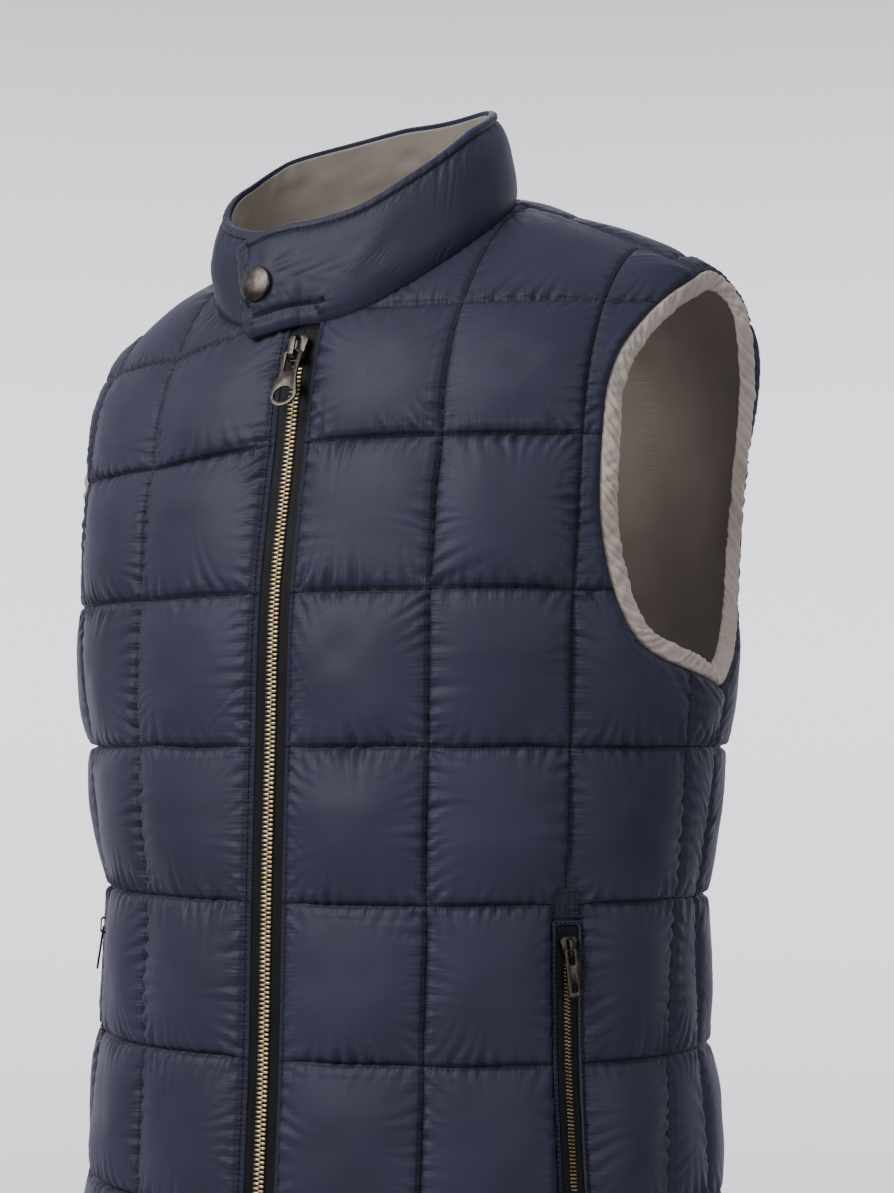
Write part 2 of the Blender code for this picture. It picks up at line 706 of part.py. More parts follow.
def local_frame(across, up, lift, sign=1, slant=(0.0, 1.0)):
    """Frame on a front panel: x across the zip, z along it and y into the cloth."""
    point, beside, above, normal = (Vector(v) for v in surface_frame(FRONT, across, up))
    rise = (beside * slant[0] + above * slant[1]).normalized()
    frame = Matrix(((-normal).cross(rise), -normal, rise)).transposed().to_4x4()
    frame.translation = point + normal * lift
    if sign < 0:
        flip = Matrix.Diagonal((-1, 1, 1, 1))
        frame = flip @ frame @ flip
    frame.translation = settle(np.array(frame.translation))
    return frame


def add_plate(shape, outline, holes, low, high):
    """Adds an outline with holes to a bmesh, drawn in x and z and extruded along y."""
    made, faces, _ = triangulate([outline, *holes])
    centres = np.array([made[list(face)].mean(axis=0) for face in faces])
    hollow = np.zeros(len(faces), bool)
    for hole in holes:
        hollow |= inside(centres, np.array(hole))
    tops = [shape.verts.new((x, low, z)) for x, z in made]
    feet = [shape.verts.new((x, high, z)) for x, z in made]
    borders = set()
    for face in (f for f, empty in zip(faces, hollow) if not empty):
        shape.faces.new([tops[i] for i in face])
        shape.faces.new([feet[i] for i in reversed(face)])
        borders |= set(zip(face, face[1:] + face[:1]))
    for a, b in sorted(borders):
        if (b, a) not in borders:
            shape.faces.new((tops[b], tops[a], feet[a], feet[b]))


def arc(centre, radius, start, end, count):
    angles = np.radians(np.linspace(start, end, count))
    return [(centre[0] + radius * math.cos(t), centre[1] + radius * math.sin(t)) for t in angles]


def rounded_box(half_width, low, high, radius, count=4):
    """Outline of an upright oblong with rounded corners."""
    x, bottom, top = half_width - radius, low + radius, high - radius
    corners = ((x, bottom, -90), (x, top, 0), (-x, top, 90), (-x, bottom, 180))
    return [p for a, b, turn in corners for p in arc((a, b), radius, turn, turn + 90, count)]


def small_piece(name, shape, frame, material, origin=None):
    """A small hard piece from a bmesh in a local frame, its own origin put on a joint's axis."""
    bmesh.ops.recalc_face_normals(shape, faces=shape.faces)
    shape.transform(frame)
    if origin is not None:
        shape.transform(Matrix.Translation(-origin))
    mesh = bpy.data.meshes.new(name)
    shape.to_mesh(mesh)
    shape.free()
    obj = add_object(name, mesh, material)
    if origin is not None:
        obj.location = origin
    return obj


def make_slider(name, frame, scale, material):
    """A slider's body joined with the arched bridge that holds its pull."""
    half = ((0.0022, -0.0062), (0.0042, -0.0050), (0.0047, 0.0005), (0.0056, 0.0042), (0.0040, 0.0062))
    outline = [(x * scale, z * scale) for x, z in half] + [(-x * scale, z * scale) for x, z in half[::-1]]
    body = bmesh.new()
    add_plate(body, outline, [], -BODY_DEPTH * scale, 0.0)
    slider = small_piece(name, body, frame, material)
    foot, inner, outer = -BODY_DEPTH + 0.0010, -BODY_DEPTH - 0.0002, -BODY_DEPTH - 0.0036
    rounded = ((-0.0056, foot), (-0.0056, outer + 0.0014), (-0.0042, outer), (0.0042, outer),
               (0.0056, outer + 0.0014), (0.0056, foot))
    opening = ((-0.0041, inner), (-0.0041, outer + 0.0016), (-0.0036, outer + 0.0010),
               (0.0036, outer + 0.0010), (0.0041, outer + 0.0016), (0.0041, inner))
    arch = bmesh.new()
    outline, hole = ([(z * scale, y * scale) for z, y in loop] for loop in (rounded, opening))
    add_plate(arch, outline, [hole], -BRIDGE_HALF_WIDTH * scale, BRIDGE_HALF_WIDTH * scale)
    turned = Matrix(((0, 1, 0, 0), (0, 0, 1, 0), (1, 0, 0, 0), (0, 0, 0, 1)))
    bridge = small_piece(f"{name}_bridge", arch, frame @ turned, material)
    bridge.hide_render = True
    bridge.display_type = "WIRE"
    join = slider.modifiers.new("bridge", "BOOLEAN")
    join.operation = "UNION"
    join.solver = "EXACT"
    join.object = bridge


def make_pull(name, shape, frame, scale, thick, material):
    """A pull hung in its slider's bridge: z = 0 of its outline is the bar that turns there."""
    hinge = frame @ Matrix.Translation((0, -HINGE_DEPTH * scale, HINGE_UP * scale))
    tilted = hinge @ Matrix.Rotation(math.radians(-PULL_TILT), 4, "X")
    plate = bmesh.new()
    add_plate(plate, shape[0], shape[1:], -thick / 2, thick / 2)
    small_piece(name, plate, tilted, material, origin=hinge.translation.copy())


def zip_pull_outline():
    """A bar at the head, a slot below it and a ring with a round hole at the foot."""
    ring = (0.0, PULL_RING - PULL_LENGTH)
    head = [(PULL_HALF_WIDTH, -0.0150), (PULL_HALF_WIDTH, -0.0010), (0.0020, PULL_BAR),
            (-0.0020, PULL_BAR), (-PULL_HALF_WIDTH, -0.0010), (-PULL_HALF_WIDTH, -0.0150)]
    slot = rounded_box(PULL_SLOT_HALF_WIDTH, -0.0140, -PULL_BAR, 0.0012)
    return [head + arc(ring, PULL_RING, 155, 385, 20), slot, arc(ring, PULL_HOLE, 0, 342, 20)]


def pocket_pull_outline():
    """A short oblong with a square hole at each end."""
    length = POCKET_PULL_LENGTH
    head = rounded_box(0.0018, -0.0080, -PULL_BAR, 0.0007, 3)
    foot = rounded_box(0.0018, 0.0024 - length, 0.0076 - length, 0.0007, 3)
    return [rounded_box(0.0037, -length, PULL_BAR, 0.0012), head, foot]


def make_zips(black, metal, dark):
    for side, sign in (("left", 1), ("right", -1)):
        sections = []
        for up in spread(zip_top() - 0.001, HEM_HEIGHT, 0.016):
            near, far = SEAM_GAP, FRONT_EDGE - SEAM_GAP
            across = np.array((near, far, far, near))
            lifts = TAPE_LIFT + np.array((0, 0, TAPE_WALL, TAPE_WALL))
            sections.append(lifted(FRONT, across, up, lifts) * (sign, 1, 1))
        loft(f"zip_tape_{side}", sections, black)
    frame = local_frame(0.0, zip_top() - SLIDER_DROP, TAPE_LIFT + TAPE_WALL + CLEARANCE)
    make_slider("zip_slider", frame, SLIDER_SCALE, metal)
    make_pull("zip_pull", zip_pull_outline(), frame, SLIDER_SCALE, 0.0014, metal)
    box = bmesh.new()
    add_plate(box, rounded_box(0.0045, 0.0005, 0.0100, 0.0010, 3), [], -0.0030, 0.0)
    small_piece("zip_box", box, local_frame(0.0, HEM_HEIGHT, TAPE_LIFT + TAPE_WALL + CLEARANCE), metal)
    slant = np.array(POCKET_TOP) - np.array(POCKET_FOOT)
    for side, sign in (("left", 1), ("right", -1)):
        across, up = pocket_path(POCKET_SLIDER_SHARE)
        frame = local_frame(across, up, TAPE_WALL + 2 * CLEARANCE, sign, slant)
        make_slider(f"pocket_slider_{side}", frame, POCKET_SLIDER_SCALE, dark)
        make_pull(f"pocket_pull_{side}", pocket_pull_outline(), frame, POCKET_SLIDER_SCALE, 0.0012, dark)


# ---------------------------------------------------------------- snap


def make_turned(name, profile, radius, height, frame, material, count=28):
    """A solid of revolution from a profile of (share of radius, share of height) closed by a point."""
    shape = bmesh.new()
    angles = np.linspace(0, 2 * math.pi, count, endpoint=False)
    rings = []
    for r, h in profile:
        ring = np.stack([r * radius * np.cos(angles), r * radius * np.sin(angles), np.full(count, h * height)], 1)
        rings.append([shape.verts.new(p) for p in ring])
    tip = shape.verts.new((0, 0, height))
    for j in range(count):
        k = (j + 1) % count
        for low, high in zip(rings, rings[1:]):
            shape.faces.new((low[j], low[k], high[k], high[j]))
        shape.faces.new((rings[-1][j], rings[-1][k], tip))
    shape.faces.new(rings[0][::-1])
    return small_piece(name, shape, frame, material)


def collar_frame(index, up_share, lift, facing):
    """Frame on the collar's wall: z out of it, facing 1 outwards or -1 inwards."""
    out = Vector(COLLAR_OUTWARD[index]) * facing
    along = Vector(COLLAR_RISES[index]).cross(out).normalized()
    frame = Matrix((along, out.cross(along), out)).transposed().to_4x4()
    frame.translation = settle(collar_points(index, [up_share], [lift])[0])
    return frame


def make_snap(metal):
    dome = ((1.0, 0.0), (1.0, 0.30), (0.97, 0.48), (0.88, 0.70), (0.70, 0.87), (0.42, 0.97))
    index = len(COLLAR_FEET) - 1 - SNAP_FROM_END
    frame = collar_frame(index, SNAP_UP_SHARE, COLLAR_PUFF + SEAM_GAP, 1)
    make_turned("snap_cap", dome, SNAP_RADIUS, SNAP_HEIGHT, frame, metal)
    away = np.linalg.norm(COLLAR_FEET[:20] - COLLAR_FEET[index], axis=1)
    lift = -COLLAR_WALL - LINING_GAP - LINING_WALL - SEAM_GAP
    frame = collar_frame(int(np.argmin(away)), SNAP_UP_SHARE, lift, -1)
    make_turned("snap_back", dome, SNAP_RADIUS * 0.6, SNAP_HEIGHT * 0.4, frame, metal, 20)


def build():
    clear_scene()
    navy = make_material("navy_nylon", NAVY, 0.45)
    grey = make_material("grey_lining", GREY, 0.65)
    black = make_material("black_tape", BLACK, 0.55)
    metal = make_material("gunmetal", GUNMETAL, 0.38, 1.0)
    dark = make_material("dark_metal", DARK_METAL, 0.42, 1.0)
    outline = front_outline()
    make_panel("front_left", FRONT, 1, outline, FRONT_LINES, navy)
    make_panel("front_right", FRONT, -1, outline, FRONT_LINES, navy)
    make_panel("back", BACK, 1, back_outline(), BACK_LINES, navy)
    make_collar(navy, grey)
    for side, sign in (("left", 1), ("right", -1)):
        make_facing(side, sign, grey)
        make_pocket(side, sign, navy, black)
    make_zips(black, metal, dark)
    make_snap(metal)


build()
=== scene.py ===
# Sleeveless quilted down vest with a stand collar, as it hangs when worn.
# Metres, +Z up, the wearer faces -Y and the wearer's left is +X.

import math

import bmesh
import bpy
import numpy as np
from mathutils import Matrix, Vector
from mathutils.geometry import delaunay_2d_cdt


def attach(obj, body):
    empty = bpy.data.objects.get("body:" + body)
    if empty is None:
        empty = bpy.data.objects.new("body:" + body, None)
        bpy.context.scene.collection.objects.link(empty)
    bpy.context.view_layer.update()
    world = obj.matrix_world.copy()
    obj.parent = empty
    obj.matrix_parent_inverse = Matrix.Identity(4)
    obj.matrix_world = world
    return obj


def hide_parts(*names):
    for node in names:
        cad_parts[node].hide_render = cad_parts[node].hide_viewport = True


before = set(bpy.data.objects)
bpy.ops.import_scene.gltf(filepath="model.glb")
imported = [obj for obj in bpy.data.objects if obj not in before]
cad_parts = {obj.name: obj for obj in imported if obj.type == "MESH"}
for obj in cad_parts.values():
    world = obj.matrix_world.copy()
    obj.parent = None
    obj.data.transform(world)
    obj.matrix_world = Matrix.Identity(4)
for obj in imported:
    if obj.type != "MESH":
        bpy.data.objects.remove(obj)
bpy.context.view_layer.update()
front, back = -1, 1

form = {
    # height, half width at the side, front depth, back depth
    "rings": np.array(((-0.680, 0.204, 0.165, 0.130), (-0.590, 0.202, 0.163, 0.126),
                       (-0.500, 0.196, 0.158, 0.120), (-0.416, 0.189, 0.156, 0.116),
                       (-0.330, 0.198, 0.153, 0.118), (-0.245, 0.211, 0.149, 0.124),
                       (-0.160, 0.221, 0.135, 0.122), (-0.120, 0.223, 0.129, 0.116))),
    "roundness": 2.05,
    "capHeight": -0.120, "capClimb": 0.150, "capRise": 0.42, "capReach": 0.50,
    "crestHeight": -0.004, "crestFrom": 0.0965, "crestRound": 0.060, "shoulderSlope": 0.47,
    "frontLean": 0.20, "frontLeanWider": 1.9, "backLean": 0.15, "seamForward": 0.022,
    "rightOut": 0.010, "rightDrop": 0.016, "leftIn": 0.010,
    "capRound": 0.026,
    "neck": (-0.0467, 0.089, 0.0713, 2.0),  # middle's y, half width, half depth, roundness
}

cut = {
    "wall": 0.0024, "seamGap": 0.0003, "seamOverlap": 0.0005, "sideShare": 0.533, "frontEdge": 0.0100,
    "neckClearance": 0.0008, "hem": -0.672, "shoulderTip": 0.200,
    # height, distance of the armhole from centre front, from centre back
    "armhole": np.array(((-0.298, 0.2905, 0.2545), (-0.281, 0.2212, 0.2320), (-0.260, 0.2017, 0.2200),
                         (-0.236, 0.1914, 0.2120), (-0.200, 0.1835, 0.2080), (-0.160, 0.1825, 0.2160),
                         (-0.120, 0.1850, 0.2340), (-0.090, 0.1975, 0.2440), (-0.063, 0.2165, 0.2230))),
    "edgeRound": 0.0006, "frontRound": 0.015, "backRound": 0.026,
}

quilting = {
    "rows": tuple(-0.672 + 0.0853 * k for k in range(7)), "yoke": -0.083,
    "frontLines": (0.094, 0.172, 0.250), "backLines": (0.039, 0.117, 0.195), "pocketLine": 1,
    "puff": 0.0090, "sidePuff": 0.0060, "shoulderPuff": 0.0055, "reach": 0.038,
    "edgeStitch": 0.0032, "frontStep": 0.00138, "backStep": 0.00212,
    "gather": 0.03, "creasePitch": (0.0028, 0.0068), "crease": 0.0038,
    "creaseReach": (0.0024, 0.0090), "creaseFade": 0.30, "fan": 0.45, "seamWander": 0.0008, "seamDepth": 0.0010,
    "pinch": 0.0052, "steps": 50, "coarser": 1.7, "sewnEdge": 0.0007, "gridEdge": 0.0016, "flatStrip": 0.0011,
    "flatLimit": 0.0013, "fullest": 1.40, "creaseSpan": 0.06,
    # cell of each unevenness, and its size
    "uneven": ((0.050, 0.16), (0.018, 0.08)), "gatherUneven": ((0.022, 0.5),), "gatherReach": 0.008,
    "wander": (0.030, 0.034, 0.045), "threadLift": 0.00024,
    "rimStep": 0.0022, "outlineStep": 0.005, "innerStep": 0.0062, "innerReach": 0.03, "innerPuff": 0.0016,
}

pocket = {
    "top": (0.1740, -0.425), "patchTop": (0.1733, -0.417), "foot": (0.1870, -0.584), "half": 0.0090,
    "frame": 0.0024, "margin": 0.0006, "tape": 0.0008, "clearance": 0.0004,
    "corner": 0.0009, "loopStep": 0.0016,
    "welt": (0.0006, 0.0012, 0.25),  # height at its edge, its roundness, how uneven it is
    "tooth": (0.0023, 0.0011, 0.00105), "toothBevel": 0.00028, "toothPitch": 0.0020, "toothAcross": 0.00085,
    "toothRun": (0.150, 0.975), "ripple": 0.00025,
}


# the form that the cloth lies on
def ease(share):
    share = np.clip(share, 0, 1)
    return share * share * (3 - 2 * share)


def settle(points):
    # the wearer's right shoulder hangs lower and further out, the left side is in at the hem
    x, _, z = np.moveaxis(np.asarray(points, float), -1, 0)
    right, high, top = (ease(v) for v in (-x / 0.10, (z + 0.46) / 0.16, (z + 0.24) / 0.16))
    left = ease((x - 0.09) / 0.09) * ease((-0.36 - z) / 0.16)
    side = -form["rightOut"] * right * high - form["leftIn"] * left
    return points + np.stack([side, 0 * x, -form["rightDrop"] * right * top], axis=-1)


def smoothRow(table, column, keys):
    known, values = table[:, 0], table[:, column]
    slopes = np.gradient(values, known)
    keys = np.clip(keys, known[0], known[-1])
    low = np.clip(np.searchsorted(known, keys) - 1, 0, len(known) - 2)
    span = known[low + 1] - known[low]
    share = (keys - known[low]) / span
    start, end = values[low], values[low + 1]
    startSlope, endSlope = slopes[low] * span, slopes[low + 1] * span
    bend = 3 * (end - start) - 2 * startSlope - endSlope
    twist = startSlope + endSlope - 2 * (end - start)
    return start + share * (startSlope + share * (bend + share * twist))


def ringXy(halfWidth, frontDepth, backDepth, turn, roundness):
    sine, cosine = np.sin(turn), np.cos(turn)
    depth = np.where(cosine > 0, frontDepth, backDepth)
    x = np.sign(sine) * halfWidth * np.abs(sine) ** (2 / roundness)
    return x, -np.sign(cosine) * depth * np.abs(cosine) ** (2 / roundness)


ringHeights = np.linspace(form["rings"][0, 0], form["capHeight"], 141)
ringSteps = 601


def ringTables():
    turns, shares = np.linspace(0.0, math.pi, 721), np.linspace(0.0, 1.0, ringSteps)
    xs, ys, lengths = [], [], []
    for height in ringHeights:
        x, y = ringXy(*(smoothRow(form["rings"], c, height) for c in (1, 2, 3)), turns, form["roundness"])
        way = np.concatenate([[0.0], np.cumsum(np.hypot(np.diff(x), np.diff(y)))])
        xs.append(np.interp(shares * way[-1], way, x))
        ys.append(np.interp(shares * way[-1], way, y))
        lengths.append(way[-1])
    return np.array(xs), np.array(ys), np.array(lengths)


ringX, ringY, halfGirths = ringTables()


def halfGirth(height):
    return np.interp(height, ringHeights, halfGirths)


def ringPoint(share, height):
    row = np.clip((height - ringHeights[0]) / (ringHeights[1] - ringHeights[0]), 0, len(ringHeights) - 1)
    low = np.minimum(row.astype(int), len(ringHeights) - 2)
    step = np.clip(share, 0, 1) * (ringSteps - 1)
    left = np.minimum(step.astype(int), ringSteps - 2)
    found = []
    for table in (ringX, ringY):
        below = table[low, left] + (step - left) * (table[low, left + 1] - table[low, left])
        above = table[low + 1, left] + (step - left) * (table[low + 1, left + 1] - table[low + 1, left])
        found.append(below + (row - low) * (above - below))
    return found


def capPoint(x, climb):
    # y and z over the shoulder: climb is -1 at the front ring, 0 on the crest, 1 at the back ring
    capHeight, roundness = form["capHeight"], form["roundness"]
    halfWidth, frontDepth, backDepth = (smoothRow(form["rings"], c, capHeight) for c in (1, 2, 3))
    within = np.maximum(1 - (np.abs(x) / halfWidth) ** roundness, 0) ** (1 / roundness)
    ahead = climb < 0
    edge = np.where(ahead, -frontDepth, backDepth) * within
    lean = np.where(ahead, form["frontLean"] + form["frontLeanWider"] * np.abs(x), -form["backLean"])
    crest = form["crestHeight"] - form["shoulderSlope"] * (np.hypot(x, form["crestRound"]) - form["crestFrom"])
    rise = form["capRise"] * (crest - capHeight)
    b = 1 - np.abs(climb)
    a = 1 - b
    y = a ** 3 * edge + 3 * a * a * b * (edge + lean * rise) + 3 * a * b * b * form["capReach"] * edge
    z = a ** 3 * capHeight + 3 * a * a * b * (capHeight + rise) + (3 * a * b * b + b ** 3) * crest
    return y, z


def basePoint(face, across, up):
    # the change of slope where the shoulders begin is rounded
    up = np.asarray(up, float)
    reach = form["capRound"] * np.exp(-((up - form["capHeight"]) / 0.03) ** 2)
    point = 0.25 * plainPoint(face, across, up)
    for share, weight in ((-1, 0.125), (-0.5, 0.25), (0.5, 0.25), (1, 0.125)):
        point = point + weight * plainPoint(face, across, up + share * reach)
    return point


def plainPoint(face, across, up):
    across, up = np.broadcast_arrays(np.asarray(across, float), np.asarray(up, float))
    share = np.abs(across) / halfGirth(up)
    if face > 0:
        share = 1 - share
    x, y = ringPoint(share, up)
    climb = face * (1 - np.maximum(up - form["capHeight"], 0) / form["capClimb"])
    capY, capZ = capPoint(x, climb)
    over = up > form["capHeight"]
    return np.stack([np.sign(across) * x, np.where(over, capY, y), np.where(over, capZ, up)], axis=-1)


def unit(vectors):
    return vectors / np.maximum(np.linalg.norm(vectors, axis=-1, keepdims=True), 1e-12)


def surfaceFrame(face, across, up):
    step = 2e-4
    point = basePoint(face, across, up)
    beside = unit(basePoint(face, across + step, up) - basePoint(face, across - step, up))
    above = unit(basePoint(face, across, up + step) - basePoint(face, across, up - step))
    return point, beside, above, unit(-face * np.cross(beside, above))


def lifted(face, across, up, lift):
    point, _, _, normal = surfaceFrame(face, across, up)
    return point + normal * np.asarray(lift)[..., None]


def wayAlong(points):
    # the distance walked at each point of a line
    return np.concatenate([[0], np.cumsum(np.linalg.norm(np.diff(points, axis=0), axis=1))])


def upAtHeight(face, across, height):
    ups = np.linspace(form["capHeight"], form["capHeight"] + form["capClimb"], 200)
    return float(np.interp(height, basePoint(face, across, ups)[:, 2], ups))


def upAtDepth(face, across, y):
    ups = np.linspace(form["capHeight"], form["capHeight"] + 2 * form["capClimb"], 400)
    return float(np.interp(-face * y, -face * basePoint(face, across, ups)[:, 1], ups))


# the panels' outlines, in metres across and up
def spread(start, end, step):
    return np.linspace(start, end, max(int(math.ceil(abs(end - start) / step)), 1) + 1)


def neckXy(turn, grown=0.0):
    middle, halfWidth, halfDepth, roundness = form["neck"]
    x, y = ringXy(halfWidth + grown, halfDepth + grown, halfDepth + grown, turn, roundness)
    return x, y + middle


def acrossAtX(face, x):
    steps = np.linspace(0, 0.25, 400)
    share = steps / halfGirth(form["capHeight"])
    if face == back:
        share = 1 - share
    return float(np.interp(x, ringPoint(share, np.full_like(steps, form["capHeight"]))[0], steps))


def sideEdge(face, height):
    share = cut["sideShare"] if face == front else 1 - cut["sideShare"]
    return float(share * halfGirth(height) + cut["seamOverlap"])


def roundedLine(line, step, size):
    # even spacing, then a soft rounding that keeps both ends
    way = np.concatenate([[0], np.cumsum(np.hypot(*np.diff(line, axis=0).T))])
    marks = np.linspace(0, way[-1], int(way[-1] / step) + 1)
    line = np.stack([np.interp(marks, way, line[:, k]) for k in (0, 1)], axis=1)
    for _ in range(int((size / step) ** 2)):
        line[1:-1] = (line[:-2] + 2 * line[1:-1] + line[2:]) / 4
    return line


def armholeEdge(face, step):
    column = 1 if face == front else 2
    capHeight = form["capHeight"]
    low, high = cut["armhole"][0, 0], cut["armhole"][-1, 0]
    heights = np.concatenate([spread(low, low + 0.017, step * 0.4), spread(low + 0.018, high, step)])[1:-1]
    acrosses = smoothRow(cut["armhole"], column, heights)
    line = [(sideEdge(face, low), low), *zip(acrosses, heights)]
    tip = acrossAtX(face, cut["shoulderTip"])
    seam = upAtDepth(face, tip, -form["seamForward"]) + cut["seamOverlap"]
    if face == front:
        line.append((tip, float(basePoint(front, tip, seam)[2])))
        line = roundedLine(np.array(line), step, cut["frontRound"])
        ups = [h if h <= capHeight else upAtHeight(face, a, h) for a, h in line]
        return [*((float(a), float(u)) for (a, _), u in zip(line[:-1], ups)), (tip, seam)]
    line = [(a, h if h <= capHeight else upAtHeight(face, a, h)) for a, h in line]
    last, start = line[-1]
    for up in spread(start, seam, step)[1:]:
        share = 1 - ease((up - start) / (capHeight + form["capClimb"] - start))
        line.append((tip + (last - tip) * share, up))
    return [(float(a), float(u)) for a, u in roundedLine(np.array(line), step, cut["backRound"])]


def neckEdge(face, count):
    turns = np.linspace(0.3, 2.6, 200)
    seamTurn = np.interp(-form["seamForward"], neckXy(turns, cut["neckClearance"])[1], turns)
    edge = []
    for turn in np.linspace(seamTurn, 0.16 if face == front else math.pi, count):
        x, y = (float(v) for v in neckXy(turn, cut["neckClearance"]))
        across = acrossAtX(face, max(x, 0.0))
        edge.append((across, upAtDepth(face, across, y)))
    edge[0] = (edge[0][0], edge[0][1] + cut["seamOverlap"])
    return edge


def zipTop():
    x, y = (float(v) for v in neckXy(0.10, cut["neckClearance"]))
    return upAtDepth(front, acrossAtX(front, x), y)


def outlineOf(face, step):
    start = cut["frontEdge"] if face == front else 0.0
    low = cut["armhole"][0, 0]
    side = [(sideEdge(face, up), up) for up in spread(cut["hem"], low, step)[:-1]]
    hem = [(across, cut["hem"]) for across in spread(start, side[0][0], step)[:-1]]
    armhole = armholeEdge(face, step)
    neck = neckEdge(face, int(0.12 / step) + 2)
    ways = spread(armhole[-1][0], neck[0][0], step)[1:-1]
    shoulder = [(way, upAtDepth(face, way, -form["seamForward"]) + cut["seamOverlap"]) for way in ways]
    half = hem + side + armhole + shoulder + neck
    if face == front:
        return np.array(half + [(start, up) for up in spread(zipTop(), cut["hem"], step)[:-1]])
    half = np.array(half)
    return np.concatenate([half, half[1:-1][::-1] * (-1, 1)])


def inChunks(points, work, size=4000):
    return np.concatenate([work(points[i:i + size]) for i in range(0, len(points), size)])


def segmentDistance(points, start, end):
    way = end - start
    apart = points[:, None, :] - start
    share = np.sum(apart * way, axis=-1) / np.maximum(np.sum(way * way, axis=-1), 1e-12)
    return np.linalg.norm(apart - np.clip(share, 0, 1)[..., None] * way, axis=-1)


def outlineDistance(points, outline):
    ends = np.roll(outline, -1, axis=0)
    return inChunks(points, lambda some: segmentDistance(some, outline, ends).min(axis=1))


def pocketDistance(points):
    top, foot = np.array((pocket["patchTop"],)), np.array((pocket["foot"],))
    return np.maximum(segmentDistance(points, top, foot)[:, 0] - pocket["half"] - pocket["margin"], 0)


def inside(points, outline):
    x0, y0 = outline.T
    x1, y1 = np.roll(x0, -1), np.roll(y0, -1)
    rise = np.where(y1 == y0, 1.0, y1 - y0)

    def crossings(some):
        x, y = some[:, :1], some[:, 1:]
        crosses = ((y0 > y) != (y1 > y)) & (x < x0 + (y - y0) / rise * (x1 - x0))
        return np.count_nonzero(crosses, axis=1) % 2 == 1

    return inChunks(points, crossings)


yokeAcross = np.linspace(0.0, 0.22, 23)
yokeUp = {face: np.array([upAtHeight(face, a, quilting["yoke"]) for a in yokeAcross]) for face in (front, back)}


def seamRows(face, across):
    across = np.abs(across)
    yoke = np.interp(across, yokeAcross, yokeUp[face])
    return np.stack([*(np.full_like(yoke, row) for row in quilting["rows"]), yoke], axis=-1)


def seamColumns(face):
    return np.array(quilting["frontLines" if face == front else "backLines"])


def seamGaps(face, flat):
    # distances from the nearest row and from the nearest column
    row = np.abs(flat[:, 1:] - seamRows(face, flat[:, 0])).min(axis=1)
    return row, np.abs(np.abs(flat[:, :1]) - seamColumns(face)).min(axis=1)


def swell(distance, reach):
    return (1 - (1 - np.clip(distance / reach, 0, 1)) ** 2) ** 0.4


print("form and outlines ready")


# cloth that relaxes over its filling, sewn down along its seams
def pleats(length, rng, pitch):
    # heights along a seam, up and down by turns with uneven spacing
    knots, heights, side = [-0.01], [0.0], 1
    while knots[-1] < length + 0.01:
        knots.append(knots[-1] + rng.uniform(*pitch))
        heights.append(side * rng.uniform(0.3, 1.0) ** 1.5)
        side = -side
    return np.array(knots), np.array(heights)


def alongPleats(way, made):
    knots, heights = made
    low = np.clip(np.searchsorted(knots, way) - 1, 0, len(knots) - 2)
    share = ease((way - knots[low]) / (knots[low + 1] - knots[low]))
    return heights[low] + share * (heights[low + 1] - heights[low])


def softNoise(shape, cell, rng):
    # smooth values between -1 and 1 on a grid, a new one every few cells
    rows, cols = (int(n / cell) + 3 for n in shape)
    rough = rng.uniform(-1, 1, (rows, cols))
    r, c = np.arange(shape[0]) / cell, np.arange(shape[1]) / cell
    lowR, lowC = r.astype(int), c.astype(int)
    shareR, shareC = ease(r - lowR)[:, None], ease(c - lowC)[None, :]
    corners = [rough[np.ix_(lowR + i, lowC + j)] for i in (0, 1) for j in (0, 1)]
    top = corners[0] + shareC * (corners[1] - corners[0])
    foot = corners[2] + shareC * (corners[3] - corners[2])
    return top + shareR * (foot - top)


def uneven(shape, step, rng, parts, start=1.0):
    # start, made uneven by noises of given cell and size
    for cell, size in parts:
        start = start + size * softNoise(shape, cell / step, rng)
    return start


relaxing = {"bend": 0.06, "calm": 0.004, "speed": 0.82, "push": 3.0e-5, "slant": 0.12}


